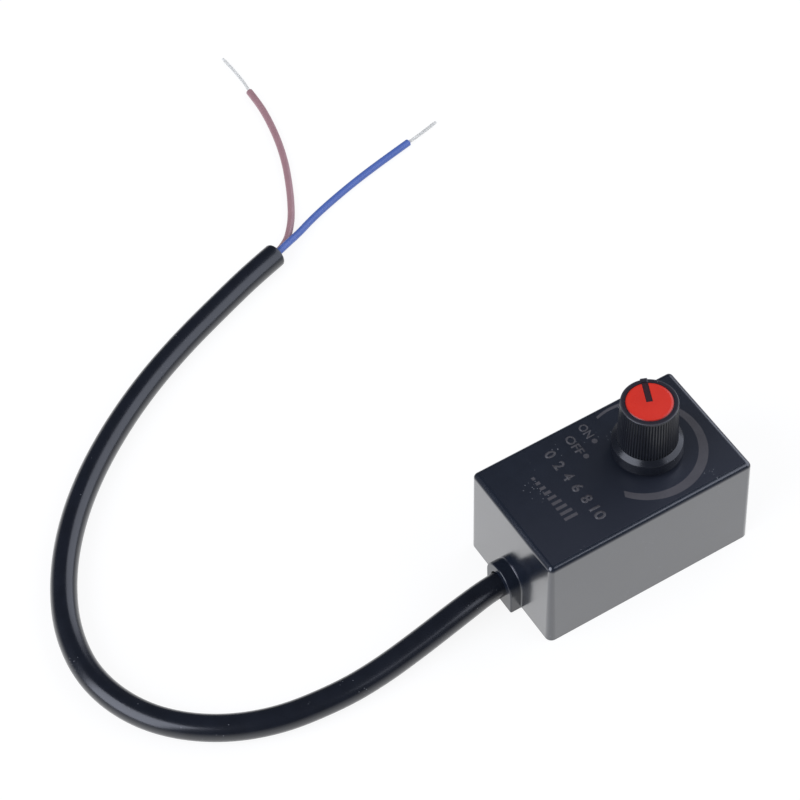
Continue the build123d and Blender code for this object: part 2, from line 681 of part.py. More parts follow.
def pot_nut():
    """The hexagon nut, with its upper corners turned off."""
    hexagon = RegularPolygon(NUT_FLATS / 2, 6, major_radius=False) - Circle(BUSH_RADIUS + THREAD_FIT)
    nut = extrude(Pos(0, 0, WASHER_TOP) * hexagon, amount=NUT_HEIGHT)
    corner = NUT_FLATS / sqrt(3)
    break_depth = corner - NUT_FLATS / 2
    outline = Polyline(
        (0, WASHER_TOP),
        (corner, WASHER_TOP),
        (corner, NUT_TOP - break_depth / 2),
        (NUT_FLATS / 2, NUT_TOP),
        (0, NUT_TOP),
        close=True,
    )
    return pot_place(nut & revolve(Plane.XZ * make_face(outline), Axis.Z))


def pot_tag_places():
    """The x of each of the track's three tags."""
    return [place * POT_TAG_PITCH for place in (-1, 0, 1)]


def rivet_y():
    """How far from the axis the tags' rivets sit on the wafer's tail."""
    return WAFER_TAIL - RIVET_HEAD_RADIUS - FIT


def pot_wafer():
    """The insulating board of the track: a disc with a tail for the tags."""
    outline = Circle(POT_RADIUS - FIT)
    outline += Pos(0, -WAFER_TAIL / 2) * Rectangle(WAFER_TAIL_WIDTH, WAFER_TAIL)
    outline -= Circle(SHAFT_RADIUS + MOVING_GAP)
    for x in pot_tag_places():
        outline -= Pos(x, -rivet_y()) * Circle(RIVET_RADIUS + WIRE_FIT)
    wafer = extrude(Pos(0, 0, WAFER_LOW) * outline, amount=WAFER_THICKNESS)
    return pot_place(wafer - rim_notches(WAFER_LOW, PLATE_LOW))


def pot_tag(x):
    """One tag: riveted under the wafer's tail, bent down and narrowed where it enters the board."""
    half = POT_TAG_WIDTH / 2
    rivet = KNOB_Y - rivet_y()
    outer = POT_TAG_Y - TAG_SHEET / 2
    inner = POT_TAG_Y + TAG_SHEET / 2
    tag = block(x - half, x + half, outer, rivet + RIVET_HEAD_RADIUS, WAFER_LOW - TAG_SHEET, WAFER_LOW)
    tag += block(x - half, x + half, outer, inner, BOARD_TOP, WAFER_LOW)
    bend = edges_between(
        tag,
        (x - half - FIT, outer - FIT, WAFER_LOW - FIT),
        (x + half + FIT, outer + FIT, WAFER_LOW + FIT),
    )
    tag = fillet(bend, TAG_BEND_RADIUS)
    tag += block(x - PIN_WIDTH / 2, x + PIN_WIDTH / 2, outer, inner, PIN_LOW, BOARD_TOP)
    tag += Pos(x, rivet, 0) * disc(RIVET_RADIUS, WAFER_LOW, PLATE_LOW)
    tag += Pos(x, rivet, 0) * disc(RIVET_HEAD_RADIUS, PLATE_LOW, PLATE_LOW + RIVET_HEAD)
    return tag


def pot_terminals():
    """The three tags of the track."""
    return Compound([pot_tag(x).solid() for x in pot_tag_places()])


def pot_housing():
    """The ring around the rotor: flange below, stop post inside, tabs that hold plate and switch."""
    ring = tube(POT_RADIUS, RING_INNER, FLANGE_TOP, WAFER_LOW)
    ring += tube(POT_RADIUS, CAM_LOBE_REACH + 2 * MOVING_GAP, RING_LOW, FLANGE_TOP)
    post = sector(POT_RADIUS, STOP_POST_ANGLE, STOP_POST_HALF_ANGLE, FLANGE_TOP, WAFER_LOW)
    ring += post - disc(RING_INNER - STOP_HEIGHT, FLANGE_TOP, WAFER_LOW)
    half = RING_TAB_WIDTH / 2
    shell = tube(POT_RADIUS, RING_INNER, RING_LOW - SWITCH_HEIGHT / 2, INNER_TOP - FIT)
    for angle in RING_TAB_ANGLES:
        strip = block(RING_INNER - THROUGH, POT_RADIUS + THROUGH, -half, half, 0, CASE_HEIGHT)
        ring += shell & (Rot(0, 0, angle) * strip)
    return pot_place(ring)


def switch_housing():
    """The cup of the switch, with grooves for the ring's tabs and slots for its own tags."""
    cup = disc(POT_RADIUS, SWITCH_LOW, RING_LOW) - disc(SWITCH_INNER, SWITCH_FLOOR_TOP, RING_LOW)
    cup -= disc(JOURNAL_RADIUS + SHAFT_RUNNING_FIT, SWITCH_LOW, SWITCH_FLOOR_TOP)
    half = RING_TAB_WIDTH / 2 + FIT
    groove_low = RING_LOW - SWITCH_HEIGHT / 2 - FIT
    for angle in RING_TAB_ANGLES:
        groove = block(RING_TAB_START, POT_RADIUS + THROUGH, -half, half, groove_low, RING_LOW)
        cup -= Rot(0, 0, angle) * groove
    low = BLADE_LOW - FIT
    high = BLADE_LOW + SWITCH_TAG_WIDTH + FIT
    outer = -POT_RADIUS - THROUGH
    for start in switch_tag_starts():
        cup -= block(start - FIT, start + TAG_SHEET + FIT, outer, -BLADE_BACK, low, high)
    return pot_place(cup)


def switch_blade():
    """The leaf spring that the cam's lobe bends away from the fixed contact."""
    face = -BLADE_FACE
    high = BLADE_LOW + BLADE_WIDTH
    return pot_place(block(-BLADE_HALF, BLADE_HALF, face - BLADE_THICKNESS, face, BLADE_LOW, high))


def switch_tag_starts():
    """The low-x face of each switch tag's flat plate: the blade's own tag, then the fixed contact's."""
    return (-BLADE_HALF, BLADE_HALF + FIT)


def switch_tag(start):
    """A flat plate that runs out through the cup's wall and down through the board."""
    pin = KNOB_Y - SWITCH_TAG_Y
    half = PIN_WIDTH / 2
    high = BLADE_LOW + SWITCH_TAG_WIDTH
    stop = start + TAG_SHEET
    plate = block(start, stop, -pin - half, -BLADE_BACK, BLADE_LOW, high)
    return plate + block(start, stop, -pin - half, -pin + half, PIN_LOW, BLADE_LOW)


def switch_contacts():
    """The blade's tag, flat against its outer face, and the fixed contact, against its inner face."""
    blade_start, fixed_start = switch_tag_starts()
    high = BLADE_LOW + BLADE_WIDTH
    back = -BLADE_BACK
    inner = -BLADE_FACE + TAG_SHEET
    blade_tag = switch_tag(blade_start)
    blade_end = blade_start + CONTACT_LENGTH
    blade_tag += block(blade_start, blade_end, back - TAG_SHEET, back, BLADE_LOW, high)
    fixed_tag = switch_tag(fixed_start)
    end = fixed_start + TAG_SHEET
    fixed_tag += block(fixed_start, end, back, inner, BLADE_LOW, high)
    fixed_tag += block(end - CONTACT_LENGTH, end, -BLADE_FACE, inner, BLADE_LOW, high)
    return Compound([pot_place(blade_tag).solid(), pot_place(fixed_tag).solid()])


def switch_pin_places():
    """Where the switch's two tags go through the board."""
    return [(start + TAG_SHEET / 2, SWITCH_TAG_Y) for start in switch_tag_starts()]


def wire_pin_places():
    """Where the wires of resistor and zener diode go through the board."""
    places = []
    for side in (-1, 1):
        places.append((side * RESISTOR_PITCH / 2, RESISTOR_Y))
        places.append((side * ZENER_PITCH / 2, ZENER_Y))
    return places


def transistor_pin_places():
    """Where the transistor's legs go through the board."""
    return [(TRANSISTOR_X + step * TRANSISTOR_PITCH, TRANSISTOR_Y) for step in (-1, 0, 1)]


def tag_pin_places():
    """Where the potentiometer's and the switch's tags go through the board."""
    return [(x, POT_TAG_Y) for x in pot_tag_places()] + switch_pin_places()


def lead_places():
    """Where the brown and the blue lead meet the board."""
    return [(-LEAD_HOLES_PITCH / 2, LEAD_HOLE_Y), (LEAD_HOLES_PITCH / 2, LEAD_HOLE_Y)]


def circuit_board():
    """The board with its drilled holes."""
    board = block(-BOARD_WIDTH / 2, BOARD_WIDTH / 2, BOARD_END, BOARD_FRONT, BOARD_LOW, BOARD_TOP)
    for x, y in tag_pin_places():
        board -= Pos(x, y, 0) * disc(PIN_HOLE_RADIUS, BOARD_LOW, BOARD_TOP)
    for x, y in wire_pin_places() + transistor_pin_places():
        board -= Pos(x, y, 0) * disc(PART_LEAD_RADIUS + FIT, BOARD_LOW, BOARD_TOP)
    for x, y in lead_places():
        board -= Pos(x, y, 0) * disc(LEAD_HOLE_RADIUS, BOARD_LOW, BOARD_TOP)
    return board


def formed_lead(pitch, y, axis_height):
    """A part's wire: along X at the part's axis and bent down through the board at both ends."""
    half = pitch / 2
    path = FilletPolyline(
        (-half, y, PIN_LOW),
        (-half, y, axis_height),
        (half, y, axis_height),
        (half, y, PIN_LOW),
        radius=3 * PART_LEAD_RADIUS,
    )
    return sweep(Plane(path @ 0, z_dir=path % 0) * Circle(PART_LEAD_RADIUS), path=path)


def along_x(radius, length, y, z, middle=0.0):
    """A cylinder along X."""
    return extrude(Plane.YZ.offset(middle) * Pos(y, z) * Circle(radius), amount=length / 2, both=True)


def resistor():
    """The resistor: a waisted body between two end caps, on its formed wire."""
    height = BOARD_TOP + RESISTOR_END_RADIUS
    body = along_x(RESISTOR_RADIUS, RESISTOR_LENGTH, RESISTOR_Y, height)
    for side in (-1, 1):
        middle = side * (RESISTOR_LENGTH - RESISTOR_END_LENGTH) / 2
        body += along_x(RESISTOR_END_RADIUS, RESISTOR_END_LENGTH, RESISTOR_Y, height, middle)
    return body + formed_lead(RESISTOR_PITCH, RESISTOR_Y, height)


def zener_diode():
    """The zener diode: a small glass body on its formed wire."""
    height = BOARD_TOP + ZENER_RADIUS
    body = along_x(ZENER_RADIUS, ZENER_LENGTH, ZENER_Y, height)
    return body + formed_lead(ZENER_PITCH, ZENER_Y, height)


def transistor():
    """The transistor: a moulded body with one flat side, standing on three legs."""
    low = BOARD_TOP + TRANSISTOR_STAND
    body = disc(TRANSISTOR_RADIUS, low, low + TRANSISTOR_HEIGHT)
    reach = 2 * TRANSISTOR_RADIUS
    body -= block(-reach, reach, TRANSISTOR_FLAT, reach, low, low + TRANSISTOR_HEIGHT)
    half = TRANSISTOR_LEG / 2
    for step in (-1, 0, 1):
        x = step * TRANSISTOR_PITCH
        body += block(x - half, x + half, -half, half, PIN_LOW, low)
    return Pos(TRANSISTOR_X, TRANSISTOR_Y, 0) * body


def solder_cone(x, y):
    """One joint under the board, before the pin is cut out of it."""
    cone = Cone(SOLDER_TOP_RADIUS, SOLDER_RADIUS, SOLDER_HEIGHT)
    return Pos(x, y, BOARD_LOW - SOLDER_HEIGHT / 2) * cone


def solder_joints():
    """The joints under the board around each pin, and those on top around the two leads."""
    joints = []
    half_sheet = TAG_SHEET / 2
    half_pin = PIN_WIDTH / 2
    for x, y in tag_pin_places():
        across_x = y == POT_TAG_Y
        half_x = half_pin if across_x else half_sheet
        half_y = half_sheet if across_x else half_pin
        pin = block(x - half_x, x + half_x, y - half_y, y + half_y, PIN_LOW, BOARD_LOW)
        joints.append((solder_cone(x, y) - pin).solid())
    for x, y in wire_pin_places():
        pin = Pos(x, y, 0) * disc(PART_LEAD_RADIUS, PIN_LOW, BOARD_LOW)
        joints.append((solder_cone(x, y) - pin).solid())
    half = TRANSISTOR_LEG / 2
    for x, y in transistor_pin_places():
        pin = block(x - half, x + half, y - half, y + half, PIN_LOW, BOARD_LOW)
        cone = Cone(TRANSISTOR_SOLDER_TOP_RADIUS, TRANSISTOR_PITCH / 2 - WIRE_FIT, SOLDER_HEIGHT)
        joint = Pos(x, y, BOARD_LOW - SOLDER_HEIGHT / 2) * cone
        joints.append((joint - pin).solid())
    for x, y in lead_places():
        dome = Cone(SOLDER_RADIUS, SOLDER_TOP_RADIUS, SOLDER_HEIGHT)
        joint = Pos(x, y, BOARD_TOP + SOLDER_HEIGHT / 2) * dome
        wire = Pos(x, y, 0) * disc(CONDUCTOR_RADIUS, BOARD_LOW, BOARD_TOP + SOLDER_HEIGHT / 2)
        joints.append((joint - wire).solid())
    return Compound(joints)


def cable_tie():
    """The tie round the jacket inside the case: a strap, its head and the cut end of its tail."""
    low = TIE_Y - TIE_WIDTH / 2
    high = TIE_Y + TIE_WIDTH / 2
    outer = JACKET_RADIUS + TIE_THICKNESS
    tie = lying_disc(outer, low, high)
    head_low = JACKET_RADIUS - TIE_HEAD_SINK
    half = TIE_HEAD / 2
    tie += block(head_low, head_low + TIE_HEAD, low, high, CORD_HEIGHT - half, CORD_HEIGHT + half)
    tail = head_low + TIE_HEAD / 2
    tie += block(
        tail,
        tail + TIE_THICKNESS,
        low,
        high,
        CORD_HEIGHT + half,
        CORD_HEIGHT + half + TIE_THICKNESS,
    )
    return tie - lying_disc(JACKET_RADIUS, low, high)


def corner_radii(points, name):
    """The largest arc that each corner of a route has room for; they are printed."""
    radii = []
    for before, corner, after in zip(points, points[1:], points[2:]):
        run_in = Vector(*corner) - Vector(*before)
        run_out = Vector(*after) - Vector(*corner)
        turn = run_in.get_angle(run_out)
        shorter = min(run_in.length, run_out.length)
        radii.append(SHARE_OF_RUN * shorter / tan(radians(turn / 2)))
    print(name, "smallest radius", round(min(radii), 2), "all", [round(radius, 1) for radius in radii])
    return radii


def swept(points, radius, name):
    """A round tube along a route of straight runs joined by arcs."""
    path = FilletPolyline(*points, radius=corner_radii(points, name))
    shape = sweep(Plane(path @ 0, z_dir=path % 0) * Circle(radius), path=path)
    expected = pi * radius ** 2 * path.length
    print(name, "length", round(path.length, 2), "volume share", round(shape.volume / expected, 5))
    return shape


def cord_jacket():
    """The jacket, with blind bores in its cut end where the two wires come out."""
    jacket = swept(JACKET_ROUTE, JACKET_RADIUS, "jacket")
    for route in (BROWN_ROUTE, BLUE_ROUTE):
        bore = Plane(route[0], z_dir=Vector(*route[1]) - Vector(*route[0])) * Circle(WIRE_RADIUS + WIRE_FIT)
        jacket -= extrude(bore, amount=2 * STRIP_DEPTH)
    return jacket


def brown_wire():
    """The brown wire from the jacket's end to where it is stripped."""
    return swept(BROWN_ROUTE, WIRE_RADIUS, "brown wire")


def blue_wire():
    """The blue wire from the jacket's end to where it is stripped."""
    return swept(BLUE_ROUTE, WIRE_RADIUS, "blue wire")


def brown_conductor():
    """The brown wire's bare tip."""
    return swept(BROWN_TIP_ROUTE, CONDUCTOR_RADIUS, "brown tip")


def blue_conductor():
    """The blue wire's bare tip."""
    return swept(BLUE_TIP_ROUTE, CONDUCTOR_RADIUS, "blue tip")


def inner_lead(side, name):
    """A wire from the jacket's inner end to the board, with its bare end through the board."""
    hole_x, hole_y = lead_places()[0 if side < 0 else 1]
    start_x = side * LEAD_SIDE
    points = [
        (start_x, JACKET_INNER_END, CORD_HEIGHT),
        (start_x + side * FIT, JACKET_INNER_END + LEAD_STRAIGHT, CORD_HEIGHT),
        (hole_x, hole_y, CORD_HEIGHT + LEAD_LOW_RISE),
        (hole_x, hole_y, BOARD_LOW),
    ]
    lead = swept(points, WIRE_RADIUS, name)
    bare_top = BOARD_TOP + SOLDER_HEIGHT / 2
    return lead + Pos(hole_x, hole_y, 0) * disc(CONDUCTOR_RADIUS, BOARD_LOW, bare_top)


def brown_lead():
    """The brown wire's stretch inside the case."""
    return inner_lead(-1, "brown lead")


def blue_lead():
    """The blue wire's stretch inside the case."""
    return inner_lead(1, "blue lead")


NODES = [
    case_shell,
    bottom_cover,
    knob_body,
    knob_cap,
    pot_shaft,
    pot_rotor,
    pot_wiper,
    pot_bushing,
    pot_washer,
    pot_nut,
    pot_wafer,
    pot_terminals,
    pot_housing,
    switch_housing,
    switch_blade,
    switch_contacts,
    circuit_board,
    resistor,
    zener_diode,
    transistor,
    solder_joints,
    cable_tie,
    cord_jacket,
    brown_wire,
    blue_wire,
    brown_conductor,
    blue_conductor,
    brown_lead,
    blue_lead,
]

os.makedirs("parts", exist_ok=True)
for make in NODES:
    export_step(make(), f"parts/{make.__name__}.step")
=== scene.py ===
"""The looks of a small rotary dimmer with a two-core cord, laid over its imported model.

Every length is in metres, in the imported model's own frame. The origin is the centre of the case's
foot, +Z is up, +Y runs from the cord's end of the case to the knob's end, and +X is to the right of
someone who reads the print on top.
"""

import logging
from dataclasses import dataclass, field
from enum import Enum
from math import cos, pi, radians, sin, tau
from typing import Any

import bmesh
import bpy
from mathutils import Matrix, Vector


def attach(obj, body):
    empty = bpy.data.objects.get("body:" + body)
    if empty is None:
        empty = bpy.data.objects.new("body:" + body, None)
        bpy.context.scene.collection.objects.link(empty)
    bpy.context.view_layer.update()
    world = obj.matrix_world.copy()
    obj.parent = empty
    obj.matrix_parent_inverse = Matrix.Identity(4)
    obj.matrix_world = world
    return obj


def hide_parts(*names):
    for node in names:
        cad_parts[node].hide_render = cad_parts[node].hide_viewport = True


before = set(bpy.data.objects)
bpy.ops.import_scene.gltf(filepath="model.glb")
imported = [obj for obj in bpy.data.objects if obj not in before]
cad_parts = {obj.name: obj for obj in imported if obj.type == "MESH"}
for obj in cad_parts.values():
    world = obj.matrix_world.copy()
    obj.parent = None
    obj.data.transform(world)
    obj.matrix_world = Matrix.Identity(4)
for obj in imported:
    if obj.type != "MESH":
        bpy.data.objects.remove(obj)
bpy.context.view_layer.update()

Point = tuple[float, float, float]
Colour = tuple[float, float, float]
Box = tuple[float, float, float, float]
Socket = bpy.types.NodeSocket
Form = bmesh.types.BMesh

MM = 0.001
KNOB_Y = 0.0085
CASE_TOP = 24.7 * MM
SAME_PLACE = 0.000001
LIGHTER = 1.35
DARKER = 0.85
log = logging.getLogger("dimmer")


class Body(Enum):
    """The two bodies that a piece can ride on."""

    CASE = "case"
    KNOB = "knob"


class Slot(Enum):
    """The record's material slots that match the new pieces' finishes; no piece is given one here."""

    INK = "print_ink"
    JACKET = "cord_rubber"
    BROWN = "brown_insulation"
    BLUE = "blue_insulation"
    TINNED = "tinned_copper"


def linked(name: str, data: Any) -> bpy.types.Object:
    """Makes an object of some data and links it into the scene.

    Args:
        name: the object's name.
        data: the data that it shows.

    Returns:
        The object.
    """
    made = bpy.data.objects.new(name, data)
    bpy.context.collection.objects.link(made)
    return made


class Wiring:
    """Adds nodes to one node tree and joins their sockets."""

    def __init__(self, tree: bpy.types.NodeTree) -> None:
        """Empties the tree.

        Args:
            tree: the tree that the nodes go into.
        """
        self.tree = tree
        self.tree.nodes.clear()

    def add(self, kind: str, inputs: dict[Any, Any] | None = None, **settings: Any) -> bpy.types.Node:
        """Adds one node.

        Args:
            kind: the node's type, without the leading ShaderNode if it has one.
            inputs: values or sockets for its inputs, by name or by number.
            settings: the node's own properties, set before its inputs.

        Returns:
            The new node.
        """
        node = self.tree.nodes.new(kind if kind.startswith("Node") else f"ShaderNode{kind}")
        for name, value in settings.items():
            setattr(node, name, value)
        for name, value in (inputs or {}).items():
            if isinstance(value, Socket):
                self.tree.links.new(value, node.inputs[name])
            else:
                node.inputs[name].default_value = value
        return node

    def math(self, operation: str, first: Any, second: Any = 0.0) -> Socket:
        """Adds a Math node and returns its result."""
        return self.add("Math", {0: first, 1: second}, operation=operation).outputs[0]

    @staticmethod
    def opaque(colour: Any) -> Any:
        """Adds full opacity to a colour's three numbers, and leaves a socket as it is."""
        return (*colour, 1.0) if isinstance(colour, tuple) else colour

    def mix(self, factor: Any, first: Any, second: Any) -> Socket:
        """Adds a colour mix and returns its result."""
        inputs = {0: factor, 6: self.opaque(first), 7: self.opaque(second)}
        return self.add("Mix", inputs, data_type="RGBA").outputs[2]

    def span(self, value: Any, low: float, high: float, out_low: Any, out_high: Any) -> Socket:
        """Adds a clamped Map Range node and returns its result."""
        ends = {"From Min": low, "From Max": high, "To Min": out_low, "To Max": out_high}
        return self.add("MapRange", {"Value": value, **ends}).outputs["Result"]

    def blend(self, mask: Any, first: Any, second: Any) -> Socket:
        """The first value where the mask is 0, and the second where it is 1."""
        return self.span(mask, 0.0, 1.0, first, second)

    def noise(self, place: Any, scale: Any, detail: float = 2.0) -> Socket:
        """Adds a noise texture and returns its value."""
        return self.add("TexNoise", {"Vector": place, "Scale": scale, "Detail": detail}).outputs[0]

    def axis(self, place: Any, index: int) -> Socket:
        """Splits a vector and returns one of its numbers."""
        return self.add("SeparateXYZ", {0: place}).outputs[index]

    def above(self, place: Any, level: float) -> Socket:
        """A mask that is 1 over a height."""
        return self.math("GREATER_THAN", self.axis(place, 2), level)

    def distance(self, first: Any, second: Any) -> Socket:
        """How far one place is from another."""
        return self.add("VectorMath", {0: first, 1: second}, operation="DISTANCE").outputs["Value"]

    def mirrored(self, path: bpy.types.Node) -> Socket:
        """A mask that is 1 on the rays that the object mirrors or lets through."""
        return self.math("MAXIMUM", path.outputs["Is Glossy Ray"], path.outputs["Is Transmission Ray"])

    def from_knob_axis(self, place: Any) -> Socket:
        """How far a place is from the knob's axis.

        Args:
            place: the place's socket.

        Returns:
            The distance.
        """
        x = self.axis(place, 0)
        y = self.math("SUBTRACT", self.axis(place, 1), KNOB_Y)
        squares = self.math("ADD", self.math("POWER", x, 2.0), self.math("POWER", y, 2.0))
        return self.math("SQRT", squares)


class SharedGroups:
    """The node groups that more than one finish uses, each built once."""

    coarse_share: float = 0.12
    cloud_range: tuple[float, float] = (0.35, 0.65)
    ragged_scale: float = 6000.0
    ragged_depth: float = 0.2
    patch_scale: float = 160.0

    def __init__(self) -> None:
        """Builds every group."""
        self.grain = self.build_grain()
        self.handling = self.build_handling()
        self.dust = self.build_dust()

    @staticmethod
    def start(name: str, numbers: dict[str, float], result: str) -> tuple[Wiring, bpy.types.Node]:
        """Makes a group's tree with its sockets.

        Args:
            name: the group's name.
            numbers: its number inputs with their usual values; a vector input comes before them.
            result: the name of its one number output.

        Returns:
            The tree's wiring and its input node.
        """
        tree = bpy.data.node_groups.new(name, "ShaderNodeTree")
        tree.interface.new_socket(name="Vector", in_out="INPUT", socket_type="NodeSocketVector")
        for label, value in numbers.items():
            socket = tree.interface.new_socket(name=label, in_out="INPUT", socket_type="NodeSocketFloat")
            socket.default_value = value
        tree.interface.new_socket(name=result, in_out="OUTPUT", socket_type="NodeSocketFloat")
        wiring = Wiring(tree)
        return wiring, wiring.add("NodeGroupInput")

    def build_grain(self) -> bpy.types.NodeTree:
        """Fine moulded texture: a height from two sizes of noise.

        Returns:
            The group's tree.
        """
        wiring, given = self.start("fine_grain", {"Scale": 9000.0}, "Height")
        place, scale = given.outputs["Vector"], given.outputs["Scale"]
        coarse = wiring.noise(place, wiring.math("MULTIPLY", scale, self.coarse_share))
        height = wiring.math("ADD", wiring.noise(place, scale), coarse)
        wiring.add("NodeGroupOutput", {0: height})
        return wiring.tree

    def build_handling(self) -> bpy.types.NodeTree:
        """Uneven gloss from the mould and from touch: a roughness between two limits.

        Returns:
            The group's tree.
        """
        wiring, given = self.start("handling", {"Scale": 120.0, "Low": 0.2, "High": 0.3}, "Roughness")
        cloud = wiring.noise(given.outputs["Vector"], given.outputs["Scale"], detail=4.0)
        rough = wiring.span(cloud, *self.cloud_range, given.outputs["Low"], given.outputs["High"])
        wiring.add("NodeGroupOutput", {0: rough})
        return wiring.tree

    def build_dust(self) -> bpy.types.NodeTree:
        """Scattered specks of dust in patches: a mask that is 1 on a speck.

        Returns:
            The group's tree.
        """
        wiring, given = self.start("dust", {"Scale": 1400.0, "Size": 0.2, "Cover": 0.55}, "Mask")
        place = given.outputs["Vector"]
        cells = wiring.add("TexVoronoi", {"Vector": place, "Scale": given.outputs["Scale"]})
        ragged = wiring.math("MULTIPLY", wiring.noise(place, self.ragged_scale), self.ragged_depth)
        distance = wiring.math("ADD", cells.outputs["Distance"], ragged)
        speck = wiring.math("LESS_THAN", distance, given.outputs["Size"])
        patches = wiring.noise(place, self.patch_scale, detail=3.0)
        patch = wiring.math("GREATER_THAN", patches, given.outputs["Cover"])
        wiring.add("NodeGroupOutput", {0: wiring.math("MULTIPLY", speck, patch)})
        return wiring.tree


@dataclass(frozen=True)
class Finish:
    """A surface: its colour, its gloss, its fine grain and the dust on it."""

    name: str
    colour: Colour
    second_colour: Colour
    colour_scale: float = 300.0
    colour_range: tuple[float, float] = (0.3, 0.7)
    low_rough: float = 0.3
    high_rough: float = 0.4
    gloss_scale: float = 120.0
    metallic: float = 0.0
    ior: float = 1.5
    coat: float = 0.0
    coat_rough: float = 0.1
    grain_scale: float = 9000.0
    grain_depth: float = 0.000003
    dust_cover: float = 1.0
    dust_size: float = 0.2
    dust_colour: Colour = (0.24, 0.25, 0.27)
    dust_rough: float = 0.8

    def colours(self, wiring: Wiring, place: Socket) -> Socket:
        """The clouded colour under the dust.

        Args:
            wiring: the material's wiring.
            place: where on the object each point is.

        Returns:
            A colour socket.
        """
        cloud = wiring.noise(place, self.colour_scale, detail=4.0)
        cloud = wiring.span(cloud, *self.colour_range, 0.0, 1.0)
        return wiring.mix(cloud, self.colour, self.second_colour)

    def gloss(self, wiring: Wiring, place: Socket, groups: SharedGroups) -> Any:
        """The uneven roughness, between the finish's two limits."""
        spread = {"Vector": place, "Scale": self.gloss_scale, "Low": self.low_rough, "High": self.high_rough}
        return wiring.add("Group", spread, node_tree=groups.handling).outputs["Roughness"]

    def sheen(self, wiring: Wiring, place: Socket) -> Any:
        """How much clear gloss lies over the surface."""
        return self.coat

    def cover(self, wiring: Wiring, place: Socket) -> Any:
        """How much of the surface the dust leaves clean."""
        return self.dust_cover

    def relief(self, wiring: Wiring, place: Socket, groups: SharedGroups) -> Any:
        """The height that the bump follows, in units of the grain's depth."""
        inputs = {"Vector": place, "Scale": self.grain_scale}
        return wiring.add("Group", inputs, node_tree=groups.grain).outputs["Height"]

    def material(self, groups: SharedGroups) -> bpy.types.Material:
        """Builds the finish as a procedural material.

        Args:
            groups: the shared node groups.

        Returns:
            The material.
        """
        material = bpy.data.materials.new(self.name)
        material.use_nodes = True
        material.diffuse_color = (*self.colour, 1.0)
        wiring = Wiring(material.node_tree)
        place = wiring.add("TexCoord").outputs["Object"]
        colour = self.colours(wiring, place)
        rough = self.gloss(wiring, place, groups)
        if self.dust_cover < 1.0:
            specks = {"Vector": place, "Size": self.dust_size, "Cover": self.cover(wiring, place)}
            mask = wiring.add("Group", specks, node_tree=groups.dust).outputs["Mask"]
            colour = wiring.mix(mask, colour, self.dust_colour)
            rough = wiring.blend(mask, rough, self.dust_rough)
        relief = self.relief(wiring, place, groups)
        bump = wiring.add("Bump", {"Height": relief, "Distance": self.grain_depth, "Strength": 1.0})
        shader = wiring.add(
            "BsdfPrincipled",
            {
                "Base Color": colour,
                "Roughness": rough,
                "Metallic": self.metallic,
                "IOR": self.ior,
                "Coat Weight": self.sheen(wiring, place),
                "Coat Roughness": self.coat_rough,
                "Normal": bump.outputs["Normal"],
            },
        )
        self.special(shader)
        wiring.add("OutputMaterial", {"Surface": shader.outputs[0]})
        return material

    def special(self, shader: bpy.types.Node) -> None:
        """Sets what only some finishes have; a plain finish has nothing more."""


@dataclass(frozen=True)
class ThreadedFinish(Finish):
    """A metal piece whose bush has a cut thread, drawn as rings about the knob's axis."""

    pitch: float = 0.75 * MM
    thread_low: float = CASE_TOP
    thread_depth: float = 80.0
    reach: float = 3.7 * MM

    def relief(self, wiring: Wiring, place: Socket, groups: SharedGroups) -> Any:
        """Adds the thread's ridges to the grain, near the axis and above the case.

        Args:
            wiring: the material's wiring.
            place: where on the object each point is.
            groups: the shared node groups.

        Returns:
            The height's socket.
        """
        y = wiring.math("SUBTRACT", wiring.axis(place, 1), KNOB_Y)
        z = wiring.axis(place, 2)
        turn = wiring.math("DIVIDE", wiring.math("ARCTAN2", y, wiring.axis(place, 0)), tau)
        wave = wiring.math("PINGPONG", wiring.math("ADD", wiring.math("DIVIDE", z, self.pitch), turn), 0.5)
        near = wiring.math("LESS_THAN", wiring.from_knob_axis(place), self.reach)
        over = wiring.math("GREATER_THAN", z, self.thread_low)
        ridges = wiring.math("MULTIPLY", wave, self.thread_depth)
        ridges = wiring.math("MULTIPLY", ridges, wiring.math("MULTIPLY", near, over))
        return wiring.math("ADD", super().relief(wiring, place, groups), ridges)


